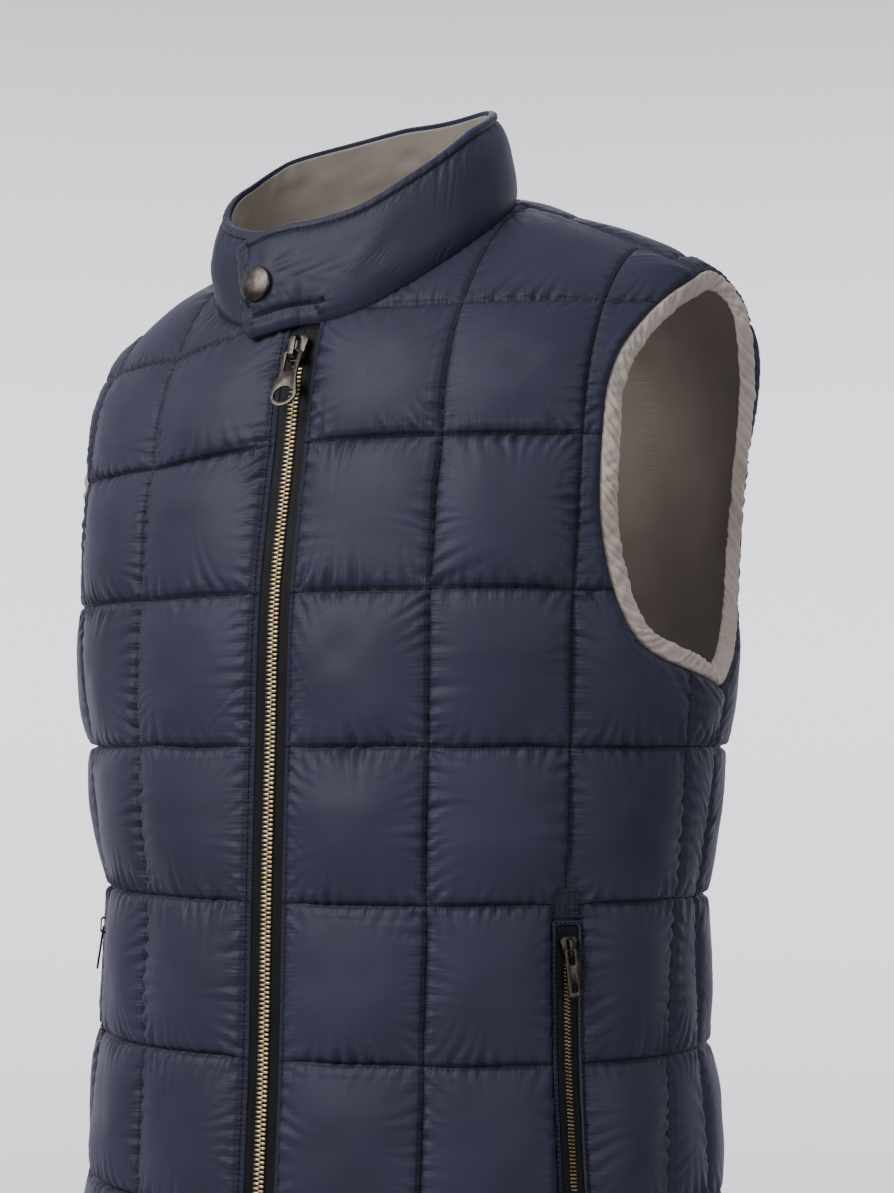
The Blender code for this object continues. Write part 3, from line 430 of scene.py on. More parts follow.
def relaxCloth(base, normal, start, restAcross, restUp, free, steps, limit, low=0.0):
    # base and normal are grids of points; the rests are the cloth's own lengths between grid neighbours
    base, normal = base.astype(np.float32), normal.astype(np.float32)
    points = base + normal * start.astype(np.float32)[..., None]
    target = np.maximum(start, 2e-4).astype(np.float32)
    limit = limit.astype(np.float32)
    weight = free.astype(np.float32)
    restAcross, restUp = restAcross.astype(np.float32), restUp.astype(np.float32)
    shape = free.shape
    rests, families = (restUp, restAcross), []

    def addFamily(a, b, rest, stiff, bending):
        total = np.maximum(weight[a] + weight[b], 1e-6)
        families.append((a, b, rest, stiff * weight[a] / total, stiff * weight[b] / total, bending))

    def span(axis, *ends):
        # some of the rows, or some of the columns
        return (slice(None), slice(*ends)) if axis else (slice(*ends), slice(None))

    for odd in (0, 1):
        for axis in (1, 0):
            count = (shape[axis] - odd) // 2
            a = span(axis, odd, odd + 2 * count - 1, 2)
            addFamily(a, span(axis, odd + 1, odd + 2 * count, 2), rests[axis][a], 1.0, False)
    slant = np.hypot(restAcross[:-1], restUp[:, :-1])
    addFamily((slice(0, -1), slice(0, -1)), (slice(1, None), slice(1, None)), slant, relaxing["slant"], False)
    addFamily((slice(0, -1), slice(1, None)), (slice(1, None), slice(0, -1)), slant, relaxing["slant"], False)
    # a seam is a hinge, so nothing stiffens the cloth across it
    for far, stiff in ((2, relaxing["bend"]), (4, relaxing["bend"] * 0.3)):
        for axis in (1, 0):
            size = shape[axis] - far
            loose = np.prod([weight[span(axis, k, size + k)] for k in range(1, far)], axis=0)
            rest = sum(rests[axis][span(axis, k, size + k)] for k in range(far))
            addFamily(span(axis, 0, -far), span(axis, far, None), rest, stiff * loose, True)
    last = points.copy()
    flatWeight = weight[..., None]
    push = np.float32(relaxing["push"])
    for _ in range(steps):
        speed = (points - last) * np.float32(relaxing["speed"])
        last = points.copy()
        height = np.einsum("ijk,ijk->ij", points - base, normal)
        points += speed * flatWeight
        points += normal * (np.clip(2.5 * (1 - height / target), -1, 1) * push * weight)[..., None]
        for a, b, rest, pullA, pullB, bending in families:
            way = points[b] - points[a]
            over = 1 - rest / (np.sqrt(np.einsum("ijk,ijk->ij", way, way)) + np.float32(1e-9))
            if bending:
                over = np.minimum(over, 0)
            points[a] += way * (over * pullA)[..., None]
            points[b] -= way * (over * pullB)[..., None]
        middle = (points[:-2, 1:-1] + points[2:, 1:-1] + points[1:-1, :-2] + points[1:-1, 2:]) / 4
        points[1:-1, 1:-1] += (middle - points[1:-1, 1:-1]) * (relaxing["calm"] * flatWeight[1:-1, 1:-1])
        height = np.einsum("ijk,ijk->ij", points - base, normal)
        points += normal * ((np.clip(height, low, limit) - height) * weight)[..., None]
    return points.astype(float)


def restLengths(base, normal, target, gatherAcross, gatherUp):
    surface = base + normal * target[..., None]
    across = np.linalg.norm(np.diff(surface, axis=1), axis=-1)
    up = np.linalg.norm(np.diff(surface, axis=0), axis=-1)
    return (across * (1 + (gatherAcross[:, 1:] + gatherAcross[:, :-1]) / 2),
            up * (1 + (gatherUp[1:] + gatherUp[:-1]) / 2))


def creaseField(gap, way, rng, pitch, reach, length=1.7, fan=0.0):
    # creases square to a seam: gap is the distance from it, way the distance along it, fan an added slant
    made = pleats(length, rng, pitch)
    marks = np.linspace(0, length, 170)
    reaches = reach[0] + (reach[1] - reach[0]) * np.interp(way, marks, rng.uniform(0, 1, 170) ** 2)
    lean = 0.5 * np.interp(way, marks[::3], rng.uniform(-1, 1, len(marks[::3])))
    size = 0.15 + 1.4 * np.interp(way, marks[::2], rng.uniform(0, 1, len(marks[::2])) ** 1.5)
    wave = (alongPleats(way + gap * (lean - fan), made) + 1) / 2
    return size * (2 * wave ** 0.65 - 1.15) * np.exp(-gap / reaches) * (1 - np.exp(-gap / 0.0014))


def panelGrid(face, outline, step):
    widest, start = float(outline[:, 0].max()) + 0.004, cut["frontEdge"]
    if face == front:
        seams = [start, start + quilting["edgeStitch"], *seamColumns(face), widest]
    else:
        seams = [-widest, *-seamColumns(face)[::-1], *seamColumns(face), widest]
    across, sewnCols = [seams[0]], []
    for a, b in zip(seams, seams[1:]):
        sewnCols.append(len(across) - 1)
        across += list(np.linspace(a, b, max(int(round((b - a) / step)), 2) + 1)[1:])
    across = np.array(across)
    rows = seamRows(face, across)
    highest = form["capHeight"] + 1.25 * form["capClimb"]
    rows = np.concatenate([rows, np.full((len(across), 1), highest)], axis=1)
    ups, sewnRows = [rows[:, 0]], [0]
    for k in range(rows.shape[1] - 1):
        count = int(round(float(np.mean(rows[:, k + 1] - rows[:, k])) / step))
        ups += [rows[:, k] + (rows[:, k + 1] - rows[:, k]) * (i + 1) / count for i in range(count)]
        sewnRows.append(len(ups) - 1)
    return across, np.array(ups), sewnCols[1:], sewnRows[1:-1]


def quiltedCloth(face, outline, seed):
    # the relaxed outer cloth of one panel, on a grid whose lines follow the seams
    step = quilting["frontStep" if face == front else "backStep"] * 1.0
    rng = np.random.default_rng(seed)
    across, up, sewnCols, sewnRows = panelGrid(face, outline, step)
    shape = up.shape
    wide = np.broadcast_to(across, shape)
    flat = np.stack([wide.ravel(), up.ravel()], axis=1)
    within = inside(flat, outline)
    edge = np.where(within, outlineDistance(flat, outline), 0.0).reshape(shape)
    base, beside, above, normal = surfaceFrame(face, wide, up)
    lines = seamColumns(face)

    # how far each point is from the seams
    rows = seamRows(face, wide.ravel()).reshape(*shape, -1)
    rowGap = np.abs(up[..., None] - rows)
    colGap = np.abs(np.abs(wide)[..., None] - lines)
    toPocket = np.full(shape, 1.0)
    if face == front:
        besidePocket = (up > quilting["rows"][0]) & (up < quilting["rows"][3] - step / 2)
        colGap[..., quilting["pocketLine"]][besidePocket] = 1.0
        toPocket = pocketDistance(flat).reshape(shape)
        topStitch = np.abs(wide - cut["frontEdge"] - quilting["edgeStitch"])
    fill = swell(rowGap.min(-1), quilting["reach"]) * swell(colGap.min(-1), quilting["reach"])
    fill *= swell(edge, quilting["reach"])
    shoulder = np.clip((up - quilting["rows"][-1]) / (form["capHeight"] + 0.06 - quilting["rows"][-1]), 0, 1)
    roundSide = np.clip((wide - 0.19) / 0.08, 0, 1) if face == front else 1.0
    height = quilting["puff"] + roundSide * (quilting["sidePuff"] - quilting["puff"])
    height = height + shoulder * (quilting["shoulderPuff"] - height)
    target = fill * height
    if face == front:
        target *= swell(toPocket, quilting["reach"])
        inFront = wide < cut["frontEdge"] + quilting["edgeStitch"]
        target *= np.where(inFront, 1, swell(topStitch, quilting["reach"]) ** 0.6)
        target[:, :sewnCols[0]] = quilting["flatStrip"] * (edge[:, :sewnCols[0]] > 0)

    # the down has sunk a little in each cell and is uneven from cell to cell
    target *= uneven(shape, step, rng, quilting["uneven"])
    sewn = np.zeros(shape, bool)
    sewn[sewnRows] = True
    for index, k in enumerate(sewnCols):
        column = np.ones(shape[0], bool)
        if face == front and index == quilting["pocketLine"] + 1:
            column = ~besidePocket[:, k]
        sewn[column, k] = True
    free = within.reshape(shape) & (edge > quilting["sewnEdge"]) & (toPocket > 0) & ~sewn

    # the seams wander by a stitch's width and are drawn in unevenly
    calmEdge = ease(np.minimum(edge, toPocket) / 0.012)
    if face == front:
        calmEdge = calmEdge * ease((wide - 0.016) / 0.01)
    wander = quilting["seamWander"] * calmEdge[..., None]
    for way, cell in zip((beside * wander, above * wander, normal * wander * 1.2), quilting["wander"]):
        base = base + way * softNoise(shape, cell / step, rng)[..., None]
    base -= normal * (quilting["seamDepth"] * calmEdge * sewn)[..., None]

    # creases stand square to each seam and fade into the cell
    crease = np.zeros(shape)
    knots = np.array([-0.30, *-lines[::-1], *lines, 0.30] if face == back else [0.01, *lines, 0.30])
    cell = np.interp(wide, knots, np.arange(len(knots)))
    fanAcross = np.cos(math.pi * cell % (2 * math.pi)) * (1 - 2 * (cell.astype(int) % 2))
    cell = np.sum(np.clip((up[..., None] - rows[..., :-1]) / (rows[..., 1:] - rows[..., :-1]), 0, 1), axis=-1)
    fanUp = np.cos(math.pi * (cell % 1))
    whole = np.ones(shape, bool)
    jobs = [(rowGap[..., k], wide + 0.35, up > rows[..., k], 1.0, fanAcross) for k in range(rowGap.shape[-1])]
    for k, line in enumerate(lines):
        jobs.append((colGap[..., k], up + 0.70 + 0.9 * (wide < 0), np.abs(wide) > line, 1.0, fanUp))
    jobs.append((edge, wide + up + 1.2, whole, 0.7, 0 * up))
    if face == front:
        jobs.append((toPocket, up + 0.70, wide > 0.18, 0.8, fanUp))
        jobs.append((topStitch, up + 0.70, whole, 1.0, fanUp))
    for gap, way, side, size, fan in jobs:
        near = gap < quilting["creaseSpan"]
        for onSide in (side, ~side):
            here = near & onSide
            if here.any():
                crease[here] += size * creaseField(gap[here], way[here], rng, quilting["creasePitch"],
                                                   quilting["creaseReach"], fan=quilting["fan"] * fan[here])
    sunk = 1.0 - quilting["creaseFade"] * ease((up - quilting["rows"][-1]) / 0.05)
    crease *= quilting["crease"] * sunk
    start = np.where(free, np.clip(target * 0.98 + crease, 1e-4, None), 0.0)
    gatherSpread = uneven(shape, step, rng, quilting["gatherUneven"], 0.65)
    alongRow = np.minimum(rowGap.min(-1), edge)
    alongRow = quilting["gather"] * np.exp(-alongRow / quilting["gatherReach"]) * gatherSpread
    alongCol = np.minimum(colGap.min(-1), np.minimum(edge, toPocket))
    if face == front:
        alongCol = np.minimum(alongCol, topStitch)
    alongCol = quilting["gather"] * np.exp(-alongCol / quilting["gatherReach"]) * gatherSpread
    restAcross, restUp = restLengths(base, normal, start, alongRow, alongCol)
    limit = target * quilting["fullest"] + 0.0012 + 0.4 * np.minimum(np.minimum(edge, toPocket), 0.004)
    if face == front:
        limit[:, :sewnCols[0]] = quilting["flatLimit"]
    steps = quilting["steps"] // 1
    points = relaxCloth(base, normal, start, restAcross, restUp, free, steps, limit, low=-0.0010)
    return points, flat.reshape(*shape, 2), edge, normal, (sewnRows, sewnCols, sewn, toPocket)


def closedEdges(first, count):
    return [(first + i, first + (i + 1) % count) for i in range(count)]


def triangulate(points, edges, near):
    made, _, faces, sources, _, _ = delaunay_2d_cdt([Vector(p) for p in points], edges, [], 1, near)
    return np.array([tuple(p) for p in made]), [tuple(f) for f in faces], sources


def inset(outline, distance):
    before, after = np.roll(outline, 1, axis=0), np.roll(outline, -1, axis=0)
    way = unit(after - before)
    return outline + np.stack([-way[:, 1], way[:, 0]], axis=1) * distance


def placed(name, data):
    obj = bpy.data.objects.new(name, data)
    bpy.context.scene.collection.objects.link(obj)
    return obj


def clothMesh(name, points, faces, materials, uv=None, slots=None, seamNear=None):
    mesh = bpy.data.meshes.new(name)
    mesh.from_pydata(points.tolist(), [], [list(map(int, f)) for f in faces])
    for material in materials:
        mesh.materials.append(material)
    if slots is not None:
        mesh.polygons.foreach_set("material_index", np.asarray(slots, np.int32))
    if uv is not None:
        layer = mesh.uv_layers.new(name="cloth")
        corner = np.empty(len(mesh.loops), np.int32)
        mesh.loops.foreach_get("vertex_index", corner)
        layer.data.foreach_set("uv", np.asarray(uv, np.float32)[corner].ravel())
    if seamNear is not None:
        layer = mesh.attributes.new("seamNear", "FLOAT_VECTOR", "POINT")
        layer.data.foreach_set("vector", seamNear.astype(np.float32).ravel())
    mesh.shade_smooth()
    mesh.update()
    return placed(name, mesh)


def standFor(obj, node):
    # the piece takes its solid's place and moves with the vest
    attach(obj, "vest")
    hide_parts(node)


def gridBorder(quads):
    # the sides that only one square has
    border = {}
    for quad in quads.tolist():
        for a, b in zip(quad, quad[1:] + quad[:1]):
            if border.pop((b, a), None) is None:
                border[a, b] = True
    return list(border)


def makePanel(name, face, sign, seed, materials):
    rim = outlineOf(face, quilting["rimStep"])
    coarse = outlineOf(face, quilting["outlineStep"])
    points, flat, edge, normal, seams = quiltedCloth(face, coarse, seed)
    rows, cols = edge.shape
    index = np.arange(rows * cols).reshape(rows, cols)
    deep = edge > quilting["gridEdge"]
    keep = deep[:-1, :-1] & deep[1:, :-1] & deep[:-1, 1:] & deep[1:, 1:]
    quads = np.stack([index[:-1, :-1], index[:-1, 1:], index[1:, 1:], index[1:, :-1]], axis=-1)[keep]
    # the strip between the grid and the rolled edge
    borders = gridBorder(quads)
    borderPoints = sorted({i for pair in borders for i in pair})
    place = {i: k for k, i in enumerate(borderPoints)}
    flatList = flat.reshape(-1, 2)
    rolled = inset(rim, cut["edgeRound"])
    first = len(borderPoints)
    edges = [(place[a], place[b]) for a, b in borders] + closedEdges(first, len(rim))
    made, faces, sources = triangulate([*flatList[borderPoints], *rolled], edges, 1e-8)
    # what lies over the grid's own squares is left out
    covered = insideGrid(np.array([made[list(f)].mean(axis=0) for f in faces]), flat, keep)
    origin = {}
    for new, olds in enumerate(sources):
        for old in olds:
            origin[new] = borderPoints[old] if old < first else -1 - (old - first)
    allPoints, allUv = [points.reshape(-1, 3)], [flatList]
    count = rows * cols
    allPoints += [lifted(face, *rolled.T, 0.0), lifted(face, *rim.T, -cut["wall"] * 0.35),
                  lifted(face, *rim.T, -cut["wall"] * 0.65)]
    allUv += [rolled, rim, rim]
    topFirst, extraFirst = count, count + 3 * len(rim)
    faceList = [tuple(q) for q in quads]
    extra = [i for i in range(len(made)) if i not in origin]
    ids = {i: (own if own >= 0 else topFirst - 1 - own) for i, own in origin.items()}
    ids.update({i: extraFirst + k for k, i in enumerate(extra)})
    if extra:
        allPoints.append(lifted(face, *made[extra].T, 0.0003))
        allUv.append(made[extra])
    faceList += [tuple(ids[i] for i in corners) for corners, hidden in zip(faces, covered) if not hidden]
    # the lining inside, drawn in along the same seams
    knots = [*rolled, *innerKnots(face, coarse)]
    innerFlat, innerFaces, sources = triangulate(knots, closedEdges(0, len(rim)), 1e-7)
    place = {old: new for new, olds in enumerate(sources) for old in olds}
    innerRim = [place[i] for i in range(len(rim))]
    depth = -cut["wall"] - innerPuff(face, innerFlat, coarse)
    innerFirst = extraFirst + len(extra)
    allPoints.append(lifted(face, *innerFlat.T, depth))
    allUv.append(innerFlat)
    # the rolled edge, from the outer cloth down to the lining
    rings = [topFirst + k * len(rim) + np.arange(len(rim)) for k in range(3)]
    rings.append(innerFirst + np.array(innerRim))
    for i in range(len(rim)):
        j = (i + 1) % len(rim)
        faceList += [(above[i], below[i], below[j], above[j]) for above, below in zip(rings, rings[1:])]
    navyFaces = len(faceList)
    faceList += [tuple(innerFirst + i for i in f[::-1]) for f in innerFaces]
    everything = np.concatenate(allPoints) * (sign, 1, 1)
    uv = np.concatenate(allUv)
    if sign * -face < 0:
        faceList = [f[::-1] for f in faceList]
    usedPoints = np.zeros(len(everything), bool)
    for f in faceList:
        usedPoints[list(f)] = True
    renumber = np.cumsum(usedPoints) - 1
    faceList = [tuple(renumber[list(f)]) for f in faceList]
    slots = [0] * navyFaces + [1] * (len(faceList) - navyFaces)
    uv = uv[usedPoints]
    obj = clothMesh(name, settle(everything[usedPoints]), faceList, materials, uv, slots, nearSeams(face, uv))
    return obj, points * (sign, 1, 1), normal * (sign, 1, 1), edge, seams


def nearSeams(face, flat):
    # nearness to a row, to a column and to either: 1 on a seam, falling off within a few millimetres
    row, column = seamGaps(face, flat)
    if face == front:
        column = np.minimum(column, np.abs(flat[:, 0] - cut["frontEdge"] - quilting["edgeStitch"]))
        column = np.minimum(column, pocketDistance(flat))
    return np.exp(-np.stack([row, column, np.minimum(row, column)], axis=1) / quilting["pinch"])


def insideGrid(centres, flat, keep):
    # whether each point lies in one of the grid's kept squares
    across = flat[0, :, 0]
    col = np.clip(np.searchsorted(across, centres[:, 0]) - 1, 0, len(across) - 2)
    found = np.zeros(len(centres), bool)
    for k in range(len(centres)):
        ups = flat[:, col[k], 1] + (flat[:, col[k] + 1, 1] - flat[:, col[k], 1]) * (
            (centres[k, 0] - across[col[k]]) / (across[col[k] + 1] - across[col[k]]))
        row = np.searchsorted(ups, centres[k, 1]) - 1
        if 0 <= row < keep.shape[0]:
            found[k] = keep[row, col[k]]
    return found


def innerKnots(face, outline):
    step = quilting["innerStep"]
    across = np.arange(cut["frontEdge"] if face == front else -0.27, 0.30, step)
    up = np.arange(cut["hem"], 0.08, step)
    knots = np.stack(np.meshgrid(across, up), axis=-1).reshape(-1, 2)
    knots = knots[inside(knots, outline)]
    return knots[outlineDistance(knots, outline) > 0.004]


def innerPuff(face, flat, outline):
    row, column = seamGaps(face, flat)
    fill = swell(row, quilting["innerReach"]) * swell(column, quilting["innerReach"])
    return quilting["innerPuff"] * fill * ease((outlineDistance(flat, outline) - 0.003) / 0.012)


# node trees for finishes and for what repeats
class Wire:
    def __init__(self, tree, socket):
        self.tree, self.socket = tree, socket

    def maths(self, operation, *values):
        inputs = {i: value for i, value in enumerate((self, *values))}
        return self.tree.node("ShaderNodeMath", {"operation": operation}, inputs)

    def __add__(self, other):
        return self.maths("ADD", other)

    def __sub__(self, other):
        return self.maths("SUBTRACT", other)

    def __mul__(self, other):
        return self.maths("MULTIPLY", other)

    def __truediv__(self, other):
        return self.maths("DIVIDE", other)

    def __pow__(self, other):
        return self.maths("POWER", other)

    def __rsub__(self, other):
        return (self * -1.0) + other

    def __rtruediv__(self, other):
        return (self ** -1.0) * other

    __radd__, __rmul__ = __add__, __mul__

    def out(self, name):
        return Wire(self.tree, self.socket.node.outputs[name])


class NodeSet:
    def __init__(self, tree):
        self.tree = tree

    def node(self, kind, settings=None, inputs=None, output=0):
        made = self.tree.nodes.new(kind)
        for key, value in (settings or {}).items():
            setattr(made, key, value)
        for key, value in (inputs or {}).items():
            if isinstance(value, Wire):
                self.tree.links.new(value.socket, made.inputs[key])
            else:
                made.inputs[key].default_value = value
        return Wire(self, made.outputs[output]) if made.outputs else made


    def split(self, vector):
        parts = self.node("ShaderNodeSeparateXYZ", {}, {0: vector})
        return [parts.out(axis) for axis in "XYZ"]

    def place(self, output="Object"):
        return self.node("ShaderNodeTexCoord", {}, {}, output)

    def ranged(self, value, low, high, start=0.0, end=1.0, kind="LINEAR"):
        return self.node("ShaderNodeMapRange", {"interpolation_type": kind}, {
            "Value": value, "From Min": low, "From Max": high, "To Min": start, "To Max": end})

    def blend(self, share, first, second, kind="MIX"):
        first, second = (v if isinstance(v, Wire) else (*v, 1.0) for v in (first, second))
        return self.node("ShaderNodeMix", {"data_type": "RGBA", "blend_type": kind}, {
            "Factor": share, 6: first, 7: second}, 2)


class Finish(NodeSet):
    def __init__(self, name, constants):
        self.material = bpy.data.materials.new(name)
        self.material.use_nodes = True
        super().__init__(self.material.node_tree)
        self.shader = self.tree.nodes["Principled BSDF"]
        for key, value in constants.items():
            self.shader.inputs[key].default_value = value

    def feed(self, socket, wire):
        self.tree.links.new(wire.socket, self.shader.inputs[socket])

    def noise(self, where, scale, detail=2.0, roughness=0.5, distortion=0.0):
        return self.node("ShaderNodeTexNoise", {}, {
            "Vector": where, "Scale": scale, "Detail": detail,
            "Roughness": roughness, "Distortion": distortion})

    def streaks(self, first, second):
        # short wrinkles, drawn out along the slower of the two
        return self.noise(self.node("ShaderNodeCombineXYZ", {}, {0: first, 1: second}), 1.0, 2.0, 0.5, 0.3)

    def clothAxes(self):
        return self.split(self.node("ShaderNodeUVMap", {"uv_map": "cloth"}))[:2]

    def bump(self, height, strength, distance, normal=None):
        inputs = {"Height": height, "Strength": strength, "Distance": distance}
        if normal is not None:
            inputs["Normal"] = normal
        return self.node("ShaderNodeBump", {}, inputs)


def nylonFinish(name, look):
    made = Finish(name, {
        "Sheen Weight": look["sheen"], "Sheen Roughness": 0.35, "Sheen Tint": (*look["sheenTint"], 1),
        "Specular IOR Level": look["specular"], "IOR": 1.5})
    place, (across, up) = made.place(), made.clothAxes()
    weave = ((across * look["threads"]).maths("SINE") * (up * look["threads"]).maths("SINE")) * 0.5 + 0.5
    broad = made.noise(place, 14.0, 3.0)
    crinkle = made.noise(place, 150.0, 4.0, 0.55, 0.6)
    fine = made.noise(place, 520.0, 2.0)
    near = made.node("ShaderNodeAttribute", {"attribute_name": "seamNear"}, {}, "Vector")
    rowNear, columnNear, near = made.split(near)
    puckers = made.streaks(across * 420.0, up * 60.0) * rowNear
    puckers = puckers + made.streaks(across * 60.0, up * 420.0) * columnNear
    # base colour: the broad noise gives random tone, and nearness to a seam pulls it darker as painted shade in
    # the seam valleys
    shade = made.blend((broad - 0.36) * 2.6 - near ** 2.0 * look["seamShade"], look["dark"], look["light"])
    # painted shade that darkens the seam lines themselves still further
    valleyShade = (near ** 4.0) * look["seamShade"] * 0.6
    made.feed("Base Color", made.blend(valleyShade, shade, (0.35, 0.35, 0.38), "MULTIPLY"))
    made.feed("Roughness", (fine - 0.5) * 0.12 + (broad - 0.5) * 0.10 + look["roughness"])
    rough = made.bump(crinkle, look["crinkle"], 0.0006)
    pinched = made.bump(puckers, look["pucker"], 0.0022, rough)
    woven = made.bump(weave, look["weave"], 0.00006, pinched)
    made.feed("Normal", woven)
    return made.material


def tapeFinish(name, look):
    made = Finish(name, {"Sheen Weight": 0.05, "Sheen Roughness": 0.4, "Specular IOR Level": 0.22})
    place, (across, up) = made.place(), made.clothAxes()
    zigzag = (across * 900.0).maths("PINGPONG", 1.0)
    ribs = ((up * 5200.0) + zigzag * 3.0).maths("SINE") * 0.5 + 0.5
    wear = made.noise(place, 90.0, 3.0)
    made.feed("Base Color", made.blend((wear - 0.3) * 1.6, look["dark"], look["light"]))
    made.feed("Roughness", wear * 0.2 + look["roughness"])
    made.feed("Normal", made.bump(ribs, 0.35, 0.0001))
    return made.material


def metalFinish(name, look):
    made = Finish(name, {"Metallic": 1.0})
    place = made.place()
    broad = made.noise(place, 260.0, 4.0, 0.6)
    specks = made.noise(place, 1900.0, 2.0)
    stain = (broad - 0.42) * 3.0
    made.feed("Base Color", made.blend(stain, look["dark"], look["light"]))
    made.feed("Roughness", broad * look["spread"] + (specks - 0.5) * 0.08 + look["roughness"])
    made.feed("Normal", made.bump(specks, look["grain"], 0.00008))
    return made.material


navyLook = {"dark": (0.0228, 0.0245, 0.0500), "light": (0.0318, 0.0345, 0.0700), "roughness": 0.57,
            "sheen": 0.10, "sheenTint": (0.50, 0.55, 0.85), "specular": 0.40, "threads": 17000.0,
            "crinkle": 0.14, "weave": 0.25, "seamShade": 0.9, "pucker": 0.8}
greyLook = {"dark": (0.300, 0.255, 0.218), "light": (0.420, 0.364, 0.315), "roughness": 0.50, "sheen": 0.15,
            "sheenTint": (0.95, 0.92, 0.90), "specular": 0.5, "threads": 15000.0,
            "crinkle": 0.30, "weave": 0.2, "seamShade": 0.0, "pucker": 0.5}

navy = nylonFinish("navy_nylon", navyLook)
grey = nylonFinish("grey_lining", greyLook)
# the facing is the lining's grey, brightened in this copy as painted light to make up for the shade it sits in
# inside the armhole
brightenedGrey = nylonFinish("grey_facing_brightened", {
    **greyLook, "dark": (0.480, 0.408, 0.346), "light": (0.650, 0.565, 0.490)})
# the thread's near-black colour is partly its own navy and partly painted shade standing for the shadows in its
# needle holes
thread = nylonFinish("navy_thread", {
    **navyLook, "dark": (0.004, 0.0045, 0.008), "light": (0.008, 0.009, 0.016), "sheen": 0.0, "specular": 0.25})
black = tapeFinish("black_tape", {
    "dark": (0.0035, 0.0035, 0.0045), "light": (0.009, 0.0088, 0.011), "roughness": 0.52})
gunmetal = metalFinish("gunmetal", {"dark": (0.078, 0.067, 0.058), "light": (0.170, 0.147, 0.128),
                                    "roughness": 0.24, "spread": 0.22, "grain": 0.15})
darkMetal = metalFinish("dark_metal", {"dark": (0.048, 0.042, 0.034), "light": (0.120, 0.105, 0.085),
                                       "roughness": 0.26, "spread": 0.22, "grain": 0.15})
brass = metalFinish("zip_brass", {"dark": (0.62, 0.48, 0.27), "light": (0.95, 0.83, 0.58),
                                  "roughness": 0.20, "spread": 0.20, "grain": 0.10})
darkBrass = metalFinish("pocket_brass", {"dark": (0.22, 0.155, 0.075), "light": (0.50, 0.38, 0.22),
                                         "roughness": 0.26, "spread": 0.20, "grain": 0.10})
print("finishes ready")


# stitches and zip teeth: a small shape set along lines by geometry nodes
def repeatTree(name, material, useObject):
    tree = bpy.data.node_groups.new(name, "GeometryNodeTree")
    face = tree.interface
    face.new_socket("Geometry", in_out="INPUT", socket_type="NodeSocketGeometry")
    sockets = {}
    for label, kind in (("Pitch", "Float"), ("Length", "Float"), ("Width", "Float"), ("Uneven", "Float"),
                        ("Seed", "Int"), ("Shape", "Object")):
        sockets[label] = face.new_socket(label, in_out="INPUT", socket_type=f"NodeSocket{kind}").identifier
    face.new_socket("Geometry", in_out="OUTPUT", socket_type="NodeSocketGeometry")
    nodes = NodeSet(tree)
    given = nodes.node("NodeGroupInput")
    lines = nodes.node("GeometryNodeMeshToCurve", {}, {"Mesh": given.out("Geometry")})
    points = nodes.node("GeometryNodeCurveToPoints", {"mode": "LENGTH"},
                        {"Curve": lines, "Length": given.out("Pitch")})
    outward = nodes.node("GeometryNodeInputNamedAttribute", {"data_type": "FLOAT_VECTOR"}, {"Name": "outward"})
    turned = nodes.node("FunctionNodeAlignRotationToVector", {"axis": "Z"}, {"Vector": points.out("Tangent")})
    turned = nodes.node("FunctionNodeAlignRotationToVector", {"axis": "Y", "pivot_axis": "Z"},
                        {"Rotation": turned, "Vector": outward})
    low = given.out("Uneven") * -1.0 + 1.0
    high = given.out("Uneven") + 1.0
    varied = nodes.node("FunctionNodeRandomValue", {"data_type": "FLOAT"},
                        {2: low, 3: high, "Seed": given.out("Seed")}, 1)
    if useObject:
        shape = nodes.node("GeometryNodeObjectInfo", {}, {"Object": given.out("Shape")}, "Geometry")
        size = nodes.node("ShaderNodeCombineXYZ", {}, {0: varied, 1: varied, 2: varied})
    else:
        shape = nodes.node("GeometryNodeMeshUVSphere", {}, {"Segments": 4, "Rings": 4, "Radius": 0.5})
        size = nodes.node("ShaderNodeCombineXYZ", {}, {
            0: given.out("Width"), 1: given.out("Width") * 0.8, 2: given.out("Length") * varied})
    copies = nodes.node("GeometryNodeInstanceOnPoints", {}, {
        "Points": points, "Instance": shape, "Rotation": turned, "Scale": size})
    solid = nodes.node("GeometryNodeRealizeInstances", {}, {"Geometry": copies})
    finished = nodes.node("GeometryNodeSetMaterial", {}, {"Geometry": solid, "Material": material})
    nodes.node("NodeGroupOutput", {}, {0: finished})
    return tree, sockets


def repeatAlong(name, lines, sizes, material, shape=None):
    # lines: (points, outward) pairs, already settled
    points = np.concatenate([line for line, _ in lines])
    outward = np.concatenate([out for _, out in lines])
    edges, first = [], 0
    for line, _ in lines:
        edges += [(first + i, first + i + 1) for i in range(len(line) - 1)]
        first += len(line)
    mesh = bpy.data.meshes.new(name)
    mesh.from_pydata(points.tolist(), edges, [])
    layer = mesh.attributes.new("outward", "FLOAT_VECTOR", "POINT")
    layer.data.foreach_set("vector", outward.astype(np.float32).ravel())
    source = placed(f"{name}_path", mesh)
    tree, sockets = repeatTree(f"{name} along its path", material, shape is not None)
    modifier = source.modifiers.new("repeat", "NODES")
    modifier.node_group = tree
    for label, value in {**sizes, "Shape": shape}.items():
        if value is not None:
            modifier[sockets[label]] = value
    bpy.context.view_layer.update()
    evaluated = source.evaluated_get(bpy.context.evaluated_depsgraph_get())
    made = bpy.data.meshes.new_from_object(evaluated)
    made.name = name
    source.modifiers.remove(modifier)
    bpy.data.objects.remove(source, do_unlink=True)
    made.shade_smooth()
    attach(placed(name, made), "vest")


def sewAlong(name, points, normal, spots, lift, sizes):
    # thread along rows and columns of a grid, a little above its cloth
    lines = [(settle(points[spot] + normal[spot] * lift), normal[spot]) for spot in spots]
    repeatAlong(name, lines, sizes, thread)


def ranges(mask):
    # runs of True in a row, as slices
    padded = np.concatenate([[False], mask, [False]])
    change = np.flatnonzero(padded[1:] != padded[:-1])
    return [slice(a, b) for a, b in zip(change[::2], change[1::2]) if b - a > 3]


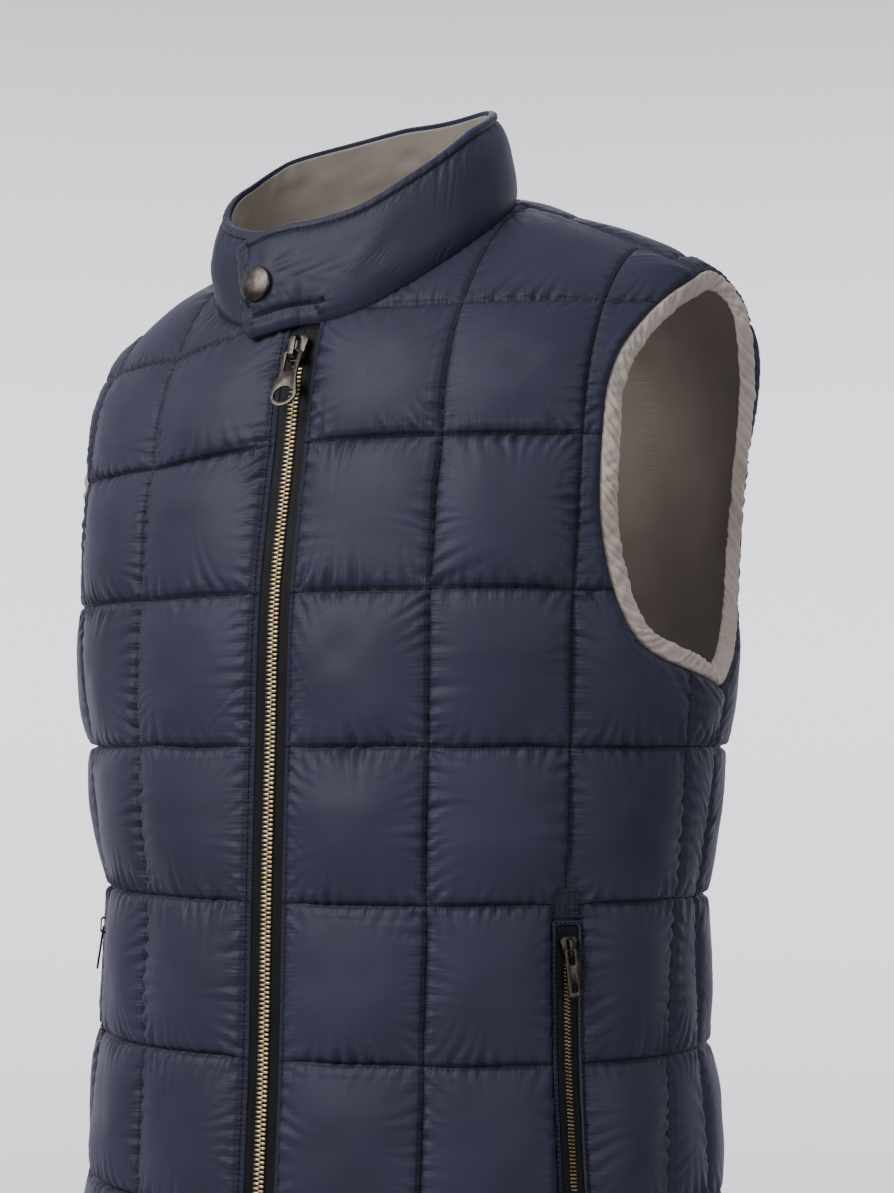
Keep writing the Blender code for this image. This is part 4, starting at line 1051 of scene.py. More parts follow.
# thread, by the names of the repeating tree's sockets
stitching = {"Pitch": 0.0033, "Length": 0.0027, "Width": 0.00095, "Uneven": 0.10, "Seed": 4}


def panelStitches(name, points, normal, edge, seams):
    sewnRows, sewnCols, sewn, toPocket = seams
    spots = [(row, run) for row in sewnRows for run in ranges((edge[row] > 0.001) & (toPocket[row] > 0))]
    spots += [(run, col) for col in sewnCols
              for run in ranges((edge[:, col] > 0.0008) & sewn[:, col] & (toPocket[:, col] > 0))]
    sewAlong(name, points, normal, spots, quilting["threadLift"], stitching)


for name, face, sign, seed in (
        ("front_left", front, 1, 11), ("front_right", front, -1, 23), ("back", back, 1, 37)):
    shell, points, normal, edge, seams = makePanel(f"{name}_cloth", face, sign, seed, [navy, grey])
    standFor(shell, name)
    panelStitches(f"{name}_stitches", points, normal, edge, seams)
    print(name, "quilted,", len(shell.data.polygons), "faces")


def thickGrid(name, outer, inner, roundEdge, material, uv, closed=False, seamNear=None):
    # a closed shell of two grids with a rounded edge, closed round its columns if asked
    rows, cols = outer.shape[:2]
    count = rows * cols
    index = np.arange(count).reshape(rows, cols)
    after = np.roll(index, -1, axis=1) if closed else index[:, 1:]
    here = index if closed else index[:, :-1]
    quads = np.stack([here[:-1], after[:-1], after[1:], here[1:]], axis=-1).reshape(-1, 4)
    if closed:
        loops = [index[0], index[-1][::-1]]
    else:
        loops = [np.concatenate([index[0], index[1:, -1], index[-1, -2::-1], index[-2:0:-1, 0]])]
    points = [outer.reshape(-1, 3), inner.reshape(-1, 3)]
    faces = [tuple(q) for q in quads] + [tuple(q[::-1] + count) for q in quads]
    spots = [uv.reshape(-1, 2)] * 2
    first = 2 * count
    for loop in loops:
        r, c = loop // cols, loop % cols
        nearRow = np.clip(r, 1, rows - 2)
        nearCol = c if closed else np.clip(c, 1, cols - 2)
        away = unit(points[0][loop] - outer[nearRow, nearCol])
        points.append((points[0][loop] + points[1][loop]) / 2 + away * roundEdge)
        spots.append(spots[0][loop])
        n = len(loop)
        for i in range(n):
            j = (i + 1) % n
            faces.append((loop[j], loop[i], first + i, first + j))
            faces.append((first + j, first + i, loop[i] + count, loop[j] + count))
        first += n
    middle = quads[len(quads) // 2]
    a, b, d = (points[0][middle[k]] for k in (0, 1, 3))
    facing = np.dot(np.cross(b - a, d - a), points[0][middle[0]] - points[1][middle[0]])
    if facing < 0:
        faces = [f[::-1] for f in faces]
    points = np.concatenate(points)
    if seamNear is not None:
        seamNear = seamNear.reshape(-1, 3)
        seamNear = np.concatenate([seamNear, np.zeros((len(points) - len(seamNear), 3))])
    return clothMesh(name, points, faces, [material], np.concatenate(spots), seamNear=seamNear)


# collar with its closing tab
collar = {
    "ring": (-0.0557, 0.080, 0.0585, 2.3),  # top edge: middle's y, half width, half depth, roundness
    # degrees round from the front, height of the top edge
    "top": np.array(((0, -0.028), (20, -0.022), (40, -0.008), (60, 0.0075), (90, 0.032),
                     (120, 0.048), (180, 0.054))),
    "rightDip": 0.008, "puff": 0.0060, "wall": 0.0025, "lap": 0.0045, "tabTurn": 34.0, "tabBulge": 0.0040,
    "tabLower": (-0.036, -0.1240, -0.0895), "tabUpper": (-0.050, -0.1095, -0.0285),
    "stitch": 0.905, "endStitch": 0.0078, "footStitch": 0.0090, "tabLength": 0.050, "step": 0.0013,
    "roll": 0.0017, "cornerRound": 0.007, "crease": 0.0013, "steps": 45, "liningGap": 0.0007,
    "snapStation": 60, "snapShare": 0.43, "snapRadius": 0.0106, "snapHeight": 0.0036, "threadLift": 0.00014,
    "uneven": ((0.040, 0.14), (0.016, 0.08)), "gather": 0.014, "pinch": 0.0034,
    # size, pitch and reach of the creases square to each seam
    "creases": {"stitch": (0.9, (0.0030, 0.0090), (0.002, 0.006)),
                "foot": (0.45, (0.0045, 0.0110), (0.002, 0.010)),
                "end": (0.9, (0.0026, 0.0050), (0.002, 0.007)),
                "tabFoot": (0.8, (0.0028, 0.0060), (0.003, 0.010)),
                "snap": (1.2, (0.0035, 0.0060), (0.006, 0.022))},
}


def collarTop(turn):
    middle, halfWidth, halfDepth, roundness = collar["ring"]
    x, y = (float(v) for v in ringXy(halfWidth, halfDepth, halfDepth, turn, roundness))
    z = float(smoothRow(collar["top"], 1, abs(math.degrees(math.remainder(turn, 2 * math.pi)))))
    fromDip = abs(math.remainder(turn + math.radians(60), 2 * math.pi))
    return np.array((x, y + middle, z - collar["rightDip"] * math.cos(min(fromDip * 1.5, math.pi / 2))))


def collarFoot(turn):
    x, y = (float(v) for v in neckXy(turn))
    climbs = np.linspace(-1, 1, 400)
    depth, height = capPoint(np.full_like(climbs, x), climbs)
    return np.array((x, y, float(np.interp(y, depth, height))))


def collarTable():
    feet, tops, fullness = [], [], []
    for turn in np.linspace(math.radians(-4), math.radians(-360), 56):
        lap = collar["lap"] * max(1 - abs(turn) / math.radians(collar["tabTurn"]), 0)
        feet.append(collarFoot(turn) + (0.0, lap, 0.0))
        tops.append(collarTop(turn) + (0.0, lap, 0.0))
        fullness.append(np.clip((abs(math.degrees(turn)) - collar["tabTurn"]) / 20, 0, 1))
    corner = (feet[-1], tops[-1])
    for share in np.linspace(0, 1, 9)[1:]:
        for made, start, end in ((feet, corner[0], collar["tabLower"]), (tops, corner[1], collar["tabUpper"])):
            point = start + (np.array(end) - start) * share
            point[1] -= (end[1] - start[1]) * share * (1 - share) + collar["tabBulge"] * 4 * share * (1 - share)
            made.append(point)
        fullness.append(1.0)
    feet, rises = np.array(feet), np.array(tops) - np.array(feet)
    outward = unit(np.cross(rises, np.gradient(feet + rises / 2, axis=0)))
    return np.column_stack([np.arange(len(feet)), feet, rises, fullness, outward])


collarRows = collarTable()


def collarAt(keys):
    found = np.stack([smoothRow(collarRows, c, keys) for c in range(1, 11)], axis=-1)
    return found[..., 0:3], found[..., 3:6], found[..., 6], unit(found[..., 7:10])


def collarKeys(low, high, step):
    keys = np.linspace(low, high, 2400)
    feet, rises, _, _ = collarAt(keys)
    way = wayAlong(feet + rises / 2)
    return np.interp(np.linspace(0, way[-1], int(way[-1] / step) + 1), way, keys), way[-1]


def snapPlace():
    # where the snap sits on the collar, the way up the collar and the way out of it
    foot, along, _, out = (v[0] for v in collarAt(np.array([float(collar["snapStation"])])))
    return foot + along * collar["snapShare"], along, out


def makeCollar():
    rng = np.random.default_rng(51)
    step = collar["step"] * 1.0
    last = len(collarRows) - 1
    keys, length = collarKeys(0, last, step)
    feet, rises, fullness, outward = collarAt(keys)
    for _ in range(30):
        for row in (feet, rises, outward):
            row[1:-1] = (row[:-2] + 2 * row[1:-1] + row[2:]) / 4
    outward = unit(outward)
    height = np.linalg.norm(rises, axis=1)
    fromEnd = np.linalg.norm(feet - feet[-1], axis=1)
    fromEnd[keys < last / 2] = 1.0
    footShare = collar["footStitch"] / height[-1]
    breaks = [0.0, footShare, collar["stitch"], 1.0]
    shares = np.concatenate([np.linspace(a, b, max(int(round((b - a) * 0.078 / step)), 2) + 1)[1:]
                             for a, b in zip(breaks, breaks[1:])])
    shares = np.concatenate([[0.0], shares])
    shape = (len(shares), len(keys))
    t = np.broadcast_to(shares[:, None], shape)
    base = feet[None] + rises[None] * shares[:, None, None]
    normal = np.broadcast_to(outward[None], base.shape).copy()
    rise = t * height
    along, upward = unit(np.gradient(feet, axis=0))[None], unit(rises)[None]
    corner = collar["cornerRound"]
    a = np.clip(1 - np.broadcast_to(fromEnd, shape) / corner, 0, 1)
    for gap, sign in ((rise, 1), ((1 - t) * height, -1)):
        b = np.clip(1 - gap / corner, 0, 1)
        both = ((a > 0) & (b > 0))[..., None]
        backward = along * (-corner * a * (1 - np.sqrt(1 - b * b / 2)))[..., None]
        inward = upward * (sign * corner * b * (1 - np.sqrt(1 - a * a / 2)))[..., None]
        base = base + both * (backward + inward)
    toStitch = (collar["stitch"] - t) * height
    onTab = np.broadcast_to(fromEnd < collar["tabLength"], shape)
    endGap = np.broadcast_to(fromEnd - collar["endStitch"], shape)
    footGap = rise - collar["footStitch"] * ease((collar["tabLength"] - fromEnd) / 0.010)
    inner = np.minimum(np.minimum(toStitch, footGap), endGap)
    rounded = swell(np.maximum(np.minimum(toStitch, rise), 0), 0.024)
    rounded = rounded * swell(np.maximum(fromEnd - 0.005, 0), 0.030)
    target = np.where(inner > 0, collar["puff"] * rounded * swell(np.maximum(inner, 0), 0.016) ** 0.5, 0)
    rim = np.minimum(np.minimum((1 - t) * height, np.where(onTab, rise, 1.0)), fromEnd)
    roll = collar["roll"] * swell(-inner, 0.0025) * swell(rim, 0.0022)
    target = np.where(inner <= 0, roll, target) * fullness
    target *= uneven(shape, step, rng, collar["uneven"])

    # the snap holds the padding flat, and the stitches hold it down
    snapAt, along, out = snapPlace()
    fromSnap = np.linalg.norm(base - snapAt, axis=-1)
    held = fromSnap < collar["snapRadius"] + 0.0006
    stitchRow = int(np.argmin(np.abs(shares - collar["stitch"])))
    footRow = int(np.argmin(np.abs(shares - footShare)))
    endCol = int(np.argmin(np.abs(fromEnd - collar["endStitch"])))
    firstTab = int(np.argmax(fromEnd < collar["tabLength"]))
    sewn = np.zeros(shape, bool)
    sewn[stitchRow, :endCol + 1] = True
    sewn[footRow:stitchRow + 1, endCol] = True
    sewn[footRow, firstTab:endCol + 1] = True
    edge = np.zeros(shape, bool)
    edge[[0, -1]], edge[:, [0, -1]] = True, True
    free = ~(sewn | edge | held)

    way = np.broadcast_to(np.linspace(0, length, shape[1]), shape)
    stitched = np.abs(toStitch)
    flatOut = base - snapAt
    around = np.arctan2(flatOut @ unit(along), flatOut @ unit(np.cross(along, out)))
    snapGap = np.maximum(fromSnap - collar["snapRadius"], 0)
    crease = 0
    for key, gap, run, far, where in (
            ("stitch", stitched, way, 2.0, 1), ("foot", rise, way, 2.0, 1),
            ("end", np.abs(endGap), rise, 0.4, onTab), ("tabFoot", np.abs(footGap), way, 2.0, onTab),
            ("snap", snapGap, (around + math.pi) * 0.014, 0.4, 1)):
        size, pitch, reach = collar["creases"][key]
        crease = crease + size * creaseField(gap, run, rng, pitch, reach, far) * where
    snapLift = collar["puff"] - 0.0002
    nearSnap = np.exp(-snapGap / 0.005)
    target = np.where(inner > 0, target + (snapLift - target) * nearSnap, target)
    start = np.where(free, np.clip(target + collar["crease"] * crease * np.minimum(fullness, 1), 1e-4, None), 0)
    start = np.where(held, snapLift, start)
    gatherSpread = uneven(shape, step, rng, quilting["gatherUneven"], 0.65)
    gather = collar["gather"] * np.exp(-np.minimum(np.abs(inner), np.abs(rise)) / quilting["gatherReach"])
    gather *= gatherSpread
    restAcross, restUp = restLengths(base, normal, start, gather, gather)
    limit = start * 1.25 + 0.0008
    points = relaxCloth(base, normal, start, restAcross, restUp, free, collar["steps"], limit)
    lining = base - normal * collar["wall"]
    # the foot turns down behind the panels' edge
    for grid in (points, lining):
        grid[0] = grid[0] - rises * (0.0034 / height)[:, None] + normal[0] * 0.0004
    uv = np.stack([way, rise], axis=-1)
    rowGap = np.minimum(np.minimum(stitched, rise + 0.002), np.where(onTab, np.abs(footGap), 1.0))
    endGap = np.where(onTab, np.abs(endGap), 1.0)
    pinch = np.exp(-np.stack([rowGap, endGap, np.minimum(rowGap, endGap)], axis=-1) / collar["pinch"])
    shell = thickGrid("collar_cloth", settle(points), settle(lining), 0.0006, navy, uv, seamNear=pinch)
    standFor(shell, "collar")
    shown = np.flatnonzero(fullness[:endCol + 1] > 0.02)
    spots = ((stitchRow, shown), (slice(footRow, stitchRow + 1), endCol),
             (footRow, slice(firstTab, endCol + 1)))
    sizes = {**stitching, "Pitch": 0.0030, "Length": 0.0024}
    sewAlong("collar_stitches", points, normal, spots, collar["threadLift"], sizes)


neckLining = {"step": 0.0024, "rows": (0.03, 0.95, 36), "cloth": 0.0006, "wrinkle": 0.0005, "uneven": 0.014,
              # pitch and reach of the creases at its top and at its foot
              "top": ((0.004, 0.009), (0.005, 0.025)), "foot": ((0.005, 0.012), (0.005, 0.030))}


def makeCollarLining():
    rng = np.random.default_rng(52)
    last = len(collarRows) - 9
    keys, length = collarKeys(1, last, neckLining["step"])
    feet, rises, _, outward = collarAt(keys)
    height = np.linalg.norm(rises, axis=1)
    shares = np.linspace(*neckLining["rows"])
    shape = (len(shares), len(keys))
    way = np.broadcast_to(np.linspace(0, length, shape[1]), shape)
    base = feet[None] + rises[None] * shares[:, None, None]
    rise = shares[:, None] * height
    toTop = (shares[-1] - shares[:, None]) * height
    crease = creaseField(toTop, way, rng, *neckLining["top"], 2.0)
    crease += 0.7 * creaseField(rise, way, rng, *neckLining["foot"], 2.0)
    ripple = softNoise(shape, neckLining["uneven"] / neckLining["step"], rng)
    wrinkle = neckLining["wrinkle"] * crease + neckLining["wrinkle"] * ripple
    near = -collar["wall"] - collar["liningGap"] - 0.0003 + np.clip(wrinkle, -0.0008, 0.0003)
    outer = base + outward[None] * near[..., None]
    inner = outer - outward[None] * neckLining["cloth"]
    uv = np.stack([way, rise], axis=-1)
    strip = thickGrid("collar_lining_cloth", settle(outer), settle(inner), 0.0002, grey, uv)
    standFor(strip, "collar_lining")


makeCollar()
makeCollarLining()
print("collar made")


# armhole facings: gathered grey bands
facing = {"width": 0.011, "gap": 0.0003, "cloth": 0.0007, "turn": 22.0, "turnTop": 78.0,
          "crinkle": 0.0034, "slant": 1.1, "pleats": ((0.0045, 0.0100), (0.0060, 0.0150)),
          "step": 0.0011, "edgeStep": 0.0025, "rounding": 24, "rows": 15}


def makeFacing(side, sign, seed):
    rng = np.random.default_rng(seed)
    stations = []
    for face in (front, back):
        edge = np.array(armholeEdge(face, facing["edgeStep"]))
        if face == back:
            edge = edge[1:-1]
        point, beside, _, normal = surfaceFrame(face, edge[:, 0], edge[:, 1])
        outward = unit(np.cross(np.gradient(point, axis=0), normal))
        outward *= np.sign(np.sum(outward * beside, axis=1, keepdims=True))
        stations.append(np.stack([point, outward, normal], axis=1)[::-face])
    point, outward, normal = np.moveaxis(np.concatenate(stations), 1, 0)
    high = np.clip((point[:, 2] + 0.16) / 0.10, 0, 1)
    behind = np.clip(point[:, 1] / 0.04 + 0.6, 0, 1)
    turn = facing["turn"] + (facing["turnTop"] - facing["turn"]) * np.maximum(high * 0.9, behind * 0.7)
    ring = np.column_stack([point, outward, normal, np.radians(turn)])
    ring = np.vstack([ring, ring[:1]])
    way = wayAlong(ring[:, :3])
    count = int(way[-1] / facing["step"])
    marks = np.linspace(0, way[-1], count, endpoint=False)
    ring = np.stack([np.interp(marks, way, ring[:, k]) for k in range(10)], axis=1)
    for _ in range(facing["rounding"]):
        ring = (np.roll(ring, 1, axis=0) + 2 * ring + np.roll(ring, -1, axis=0)) / 4
    point, outward, normal, turn = ring[:, :3], unit(ring[:, 3:6]), unit(ring[:, 6:9]), ring[:, 9:]
    along = outward * np.cos(turn) - normal * np.sin(turn)
    thick = outward * np.sin(turn) + normal * np.cos(turn)
    start = point + outward * (facing["gap"] + facing["cloth"] * np.sin(turn)) - normal * cut["wall"] * 0.25
    shares = np.linspace(0, 1, facing["rows"])
    shape = (len(shares), count)
    s = np.broadcast_to(marks, shape)
    t = np.broadcast_to(shares[:, None], shape)
    across = t * facing["width"]
    main, lesser = facing["pleats"]
    folds = alongPleats(s + across * facing["slant"], pleats(way[-1] + 0.02, rng, main))
    lesser = alongPleats(s - across * 0.6, pleats(way[-1] + 0.02, rng, lesser))
    crinkle = np.abs(folds) ** 0.7 + 0.5 * np.abs(lesser) + 0.25 * softNoise(shape, 6.0, rng)
    body = np.sin(np.pi * t) ** 0.6
    lift = facing["crinkle"] * crinkle * (0.35 + 0.65 * body)
    middle = start[None] + along[None] * (facing["width"] * t)[..., None] + thick[None] * lift[..., None]
    # its sewn edge goes down the side of the panels and in behind them
    flank = point + outward * (facing["gap"] + facing["cloth"] / 2)
    under = np.stack([point - outward * 0.0024 - normal * (cut["wall"] + 0.0010),
                      flank - normal * (cut["wall"] + 0.0008), flank - normal * cut["wall"] * 0.7])
    middle = np.concatenate([under, middle])
    half = np.concatenate([normal[None], (outward + normal)[None] / 1.4, outward[None],
                           np.broadcast_to(thick, (len(shares), *thick.shape))]) * facing["cloth"] / 2
    s, t = (np.concatenate([np.broadcast_to(v[:1], (3, count)), v]) for v in (s, t))
    uv = np.stack([s, t * facing["width"]], axis=-1)
    flip = np.array((sign, 1, 1))
    name = f"armhole_facing_{side}_cloth"
    outer, inner = settle((middle + half) * flip), settle((middle - half) * flip)
    band = thickGrid(name, outer, inner, 0.0003, brightenedGrey, uv, closed=True)
    standFor(band, f"armhole_facing_{side}")
    print(name, round(way[-1], 4), "round")


for side, sign, seed in (("left", 1, 61), ("right", -1, 62)):
    makeFacing(side, sign, seed)


# zips: woven tapes, brass teeth, and bevelled metal parts
zips = {"lift": -0.0020, "wall": 0.0008, "pitch": 0.00254, "tooth": (0.0041, 0.0017, 0.00150), "bevel": 0.00038,
        "toothAcross": 0.00155, "toothLift": 0.0007, "sliderDrop": 0.0135, "sliderBody": 0.009, "box": 0.0108,
        "ripple": 0.00022, "cord": (0.0088, 0.0007, 0.00035)}  # cord: place across, half width, height


def makeTooth(name, size, bevel):
    shape = bmesh.new()
    bmesh.ops.create_cube(shape, size=1.0)
    shape.transform(Matrix.Diagonal((*size, 1)))
    bmesh.ops.bevel(shape, geom=shape.edges[:], offset=bevel, segments=1, affect="EDGES")
    mesh = bpy.data.meshes.new(name)
    shape.to_mesh(mesh)
    shape.free()
    return placed(name, mesh)


def frontStrip(name, flat, low, high, sign, material, closed=False):
    # a strip on one front, between two heights above the form
    outer, inner = (settle(lifted(front, flat[..., 0], flat[..., 1], lift) * (sign, 1, 1))
                    for lift in (high, low))
    return thickGrid(name, outer, inner, 0.0001, material, flat, closed)


def makeZipTape(side, sign, seed):
    rng = np.random.default_rng(seed)
    ups = spread(zipTop() - 0.001, cut["hem"], 0.003)
    across = np.linspace(0.0001, cut["frontEdge"] + cut["seamOverlap"], 12)
    a, u = np.meshgrid(across, ups, indexing="ij")
    ripple = zips["ripple"] * softNoise(a.shape, 5.0, rng) * ease((a - 0.002) / 0.003)
    place, half, rise = zips["cord"]
    cord = rise * np.exp(-((a - place) / half) ** 2)
    strip = frontStrip(f"zip_tape_{side}_cloth", np.stack([a, u], axis=-1), zips["lift"],
                       zips["lift"] + zips["wall"] + ripple + cord, sign, black)
    standFor(strip, f"zip_tape_{side}")


def frontLine(path, lift, sign):
    # a line above one front, with the way out of the cloth at each point
    point, _, _, normal = surfaceFrame(front, path[:, 0], path[:, 1])
    return settle((point + normal * lift) * (sign, 1, 1)), normal * (sign, 1, 1)


tooth = makeTooth("zip_tooth", zips["tooth"], zips["bevel"])
for side, sign, seed in (("left", 1, 71), ("right", -1, 72)):
    makeZipTape(side, sign, seed)
    low = cut["hem"] + zips["box"] + (zips["pitch"] / 2 if side == "right" else 0)
    high = low + zips["pitch"] * int((zipTop() - zips["sliderDrop"] - zips["sliderBody"] - low) / zips["pitch"])
    ups = spread(low, high, 0.002)
    path = np.stack([np.full(len(ups), zips["toothAcross"]), ups], axis=1)
    line, out = frontLine(path, zips["lift"] + zips["wall"] + zips["toothLift"], sign)
    sizes = {"Pitch": zips["pitch"], "Uneven": 0.03, "Seed": 7}
    repeatAlong(f"zip_teeth_{side}", [(line[::sign], out[::sign])], sizes, brass, tooth)
bpy.data.objects.remove(tooth, do_unlink=True)


def pocketPath(share):
    share = np.asarray(share, float)[..., None]
    return np.array(pocket["top"]) + (np.array(pocket["foot"]) - np.array(pocket["top"])) * share


def pocketLoop(half, insetBy):
    # points round a pocket with small round corners
    slant = np.array(pocket["top"]) - np.array(pocket["foot"])
    length = float(np.linalg.norm(slant))
    corner, low, high = pocket["corner"], insetBy, length - insetBy
    ends = [(-half + corner, low), (half - corner, low), (half, low + corner), (half, high - corner),
            (half - corner, high), (-half + corner, high), (-half, high - corner), (-half, low + corner)]
    spots = []
    for a, b in zip(ends, ends[1:] + ends[:1]):
        count = max(int(math.hypot(b[0] - a[0], b[1] - a[1]) / pocket["loopStep"]), 1)
        spots += [(a[0] + (b[0] - a[0]) * i / count, a[1] + (b[1] - a[1]) * i / count) for i in range(count)]
    spots = np.array(spots)
    return pocketPath(spots[:, 1] / length) + np.stack([spots[:, 0], 0 * spots[:, 0]], axis=1)


def makePocket(side, sign, seed):
    rng = np.random.default_rng(seed)
    half, framed, tapeTop = pocket["half"], pocket["frame"], pocket["clearance"] + pocket["tape"]
    outerLoop, innerLoop = pocketLoop(half, 0.0), pocketLoop(half - framed, framed)
    n = max(len(outerLoop), len(innerLoop))
    loops = []
    for loop in (outerLoop, innerLoop):
        closed = np.vstack([loop, loop[:1]])
        marks = np.linspace(0, len(loop), n, endpoint=False)
        known = np.arange(len(loop) + 1)
        loops.append(np.stack([np.interp(marks, known, closed[:, k]) for k in (0, 1)], axis=1))
    shares = np.linspace(0, 1, 7)
    flat = loops[0][None] + (loops[1] - loops[0])[None] * shares[:, None, None]
    roundTop = np.sqrt(np.maximum(1 - (2 * shares - 1) ** 2, 0))[:, None]
    edgeRise, crown, waviness = pocket["welt"]
    wave = 1 + waviness * softNoise((len(shares), n), 4.0, rng)
    top = pocket["clearance"] + edgeRise + crown * roundTop * wave
    welt = frontStrip(f"pocket_frame_{side}_cloth", flat, pocket["clearance"], top, sign, navy, closed=True)
    standFor(welt, f"pocket_frame_{side}")
    # the tape inside the welt
    edgeIn = framed + cut["seamGap"]
    length = float(np.linalg.norm(np.array(pocket["top"]) - np.array(pocket["foot"])))
    shares = spread(edgeIn / length, 1 - edgeIn / length, 0.015)
    across = np.linspace(-half + edgeIn, half - edgeIn, 13)
    middle = pocketPath(shares)
    flat = np.stack([middle[None, :, 0] + across[:, None],
                     np.broadcast_to(middle[:, 1], (len(across), len(shares)))], axis=-1)
    ripple = pocket["ripple"] * softNoise(flat.shape[:2], 4.0, rng)
    ripple = ripple * ease((np.abs(across) - 0.002) / 0.002)[:, None]
    strip = frontStrip(f"pocket_tape_{side}_cloth", flat, pocket["clearance"], tapeTop + ripple, sign, black)
    standFor(strip, f"pocket_tape_{side}")
    # teeth, below the slider
    small = makeTooth(f"pocket_tooth_{side}", pocket["tooth"], pocket["toothBevel"])
    lines = []
    for way in (-1, 1):
        first = pocket["toothRun"][0] + (pocket["toothPitch"] / 2 / length if way > 0 else 0)
        path = pocketPath(np.linspace(first, pocket["toothRun"][1], 90)) + (way * pocket["toothAcross"], 0)
        lines.append(frontLine(path, tapeTop + 0.0005, sign))
    sizes = {"Pitch": pocket["toothPitch"], "Uneven": 0.04, "Seed": 9}
    repeatAlong(f"pocket_teeth_{side}", lines, sizes, darkBrass, small)
    bpy.data.objects.remove(small, do_unlink=True)
    # stitches on the welt, beside it, and up to the seam above
    lines = []
    for loop, lift in ((pocketLoop(half - framed * 0.42, framed * 0.42), pocket["clearance"] + 0.00185),
                       (pocketLoop(half + 0.0014, -0.0014), 0.0009)):
        lines.append(frontLine(np.vstack([loop, loop[:1]]), lift, sign))
    for shift in (-half - 0.0014, -half + 0.0012, half - 0.0012, half + 0.0014):
        lines.append(frontLine(pocketPath(np.linspace(-0.004, -0.052, 8)) + (shift, 0), 0.0006, sign))
    sizes = {**stitching, "Pitch": 0.0027, "Length": 0.0021}
    repeatAlong(f"pocket_stitches_{side}", lines, sizes, thread)


for side, sign, seed in (("left", 1, 81), ("right", -1, 82)):
    makePocket(side, sign, seed)
print("zips and pockets made")


def finerMetal(node, body, width, material, wider=None):
    shape = bmesh.new()
    shape.from_mesh(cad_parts[node].data)
    bmesh.ops.remove_doubles(shape, verts=shape.verts, dist=3e-6)
    if wider:
        heights, factors = wider
        middle = sum(v.co.x for v in shape.verts) / len(shape.verts)
        low, high = min(v.co.z for v in shape.verts), max(v.co.z for v in shape.verts)
        for v in shape.verts:
            factor = float(np.interp((v.co.z - low) / (high - low), heights, factors))
            v.co.x = middle + (v.co.x - middle) * factor
    bmesh.ops.dissolve_limit(shape, angle_limit=math.radians(3), verts=shape.verts, edges=shape.edges)
    sharp = [e for e in shape.edges if e.is_manifold and e.calc_face_angle(0.0) > math.radians(30)]
    bmesh.ops.bevel(shape, geom=sharp, offset=width, segments=2, profile=0.5, affect="EDGES",
                    clamp_overlap=True)
    mesh = bpy.data.meshes.new(f"{node}_metal")
    shape.to_mesh(mesh)
    shape.free()
    mesh.materials.append(material)
    mesh.shade_smooth()
    mesh.set_sharp_from_angle(angle=math.radians(32))
    obj = placed(f"{node}_metal", mesh)
    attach(obj, body)
    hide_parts(node)


for node, body, width, material in (
        ("zip_slider", "vest", 0.00035, gunmetal), ("zip_box", "vest", 0.00035, gunmetal),
        ("snap_back", "vest", 0.0001, gunmetal),
        ("pocket_slider_left", "vest", 0.00022, darkMetal), ("pocket_slider_right", "vest", 0.00022, darkMetal),
        ("pocket_pull_left", "pocket_pull_tab_left", 0.00022, darkMetal),
        ("pocket_pull_right", "pocket_pull_tab_right", 0.00022, darkMetal)):
    finerMetal(node, body, width, material)
# the pull's plate swells towards its ring
finerMetal("zip_pull", "zip_pull_tab", 0.00028, gunmetal,
           ((0.0, 0.30, 0.45, 0.62, 1.0), (1.22, 1.22, 1.45, 1.65, 2.0)))


def makeSnapCap():
    # a pressed dome with a rolled rim
    snapAt, along, out = snapPlace()
    # radius and height, as shares of the cap's
    profile = ((0.90, 0.0), (0.985, 0.04), (1.0, 0.13), (0.998, 0.27), (0.975, 0.42), (0.93, 0.55),
               (0.90, 0.585), (0.86, 0.625), (0.76, 0.74), (0.62, 0.85), (0.44, 0.935), (0.22, 0.985))
    side = unit(np.cross(along, out))
    upward = unit(np.cross(out, side))
    centre = settle(snapAt + out * (collar["puff"] + cut["seamGap"]))
    sides = 64
    angles = np.linspace(0, 2 * math.pi, sides, endpoint=False)
    ring = np.outer(np.cos(angles), side) + np.outer(np.sin(angles), upward)
    rings = [centre + collar["snapRadius"] * r * ring + out * h * collar["snapHeight"] for r, h in profile]
    points = np.concatenate([*rings, [centre + out * collar["snapHeight"], centre]])
    faces = []
    top, foot, last = len(points) - 2, len(points) - 1, (len(profile) - 1) * sides
    pairs = [(i, (i + 1) % sides) for i in range(sides)]
    for k in range(0, last, sides):
        faces += [(k + i, k + j, k + sides + j, k + sides + i) for i, j in pairs]
    for i, j in pairs:
        faces += [(last + i, last + j, top), (j, i, foot)]
    normal = np.cross(points[faces[0][1]] - points[faces[0][0]], points[faces[0][2]] - points[faces[0][0]])
    if np.dot(normal, points[faces[0][0]] - centre) < 0:
        faces = [f[::-1] for f in faces]
    cap = clothMesh("snap_cap_metal", points, faces, [gunmetal])
    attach(cap, "vest")
    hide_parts("snap_cap")


makeSnapCap()
print("metal parts made")


# camera, light and floor
camera = placed("camera", bpy.data.cameras.new("camera"))
camera.location = (0.729, -1.219, -0.330)
camera.rotation_euler = (math.radians(93.66), 0, math.radians(30))
camera.data.lens, camera.data.sensor_width = 70, 36
camera.data.clip_start = 0.05
bpy.context.scene.camera = camera

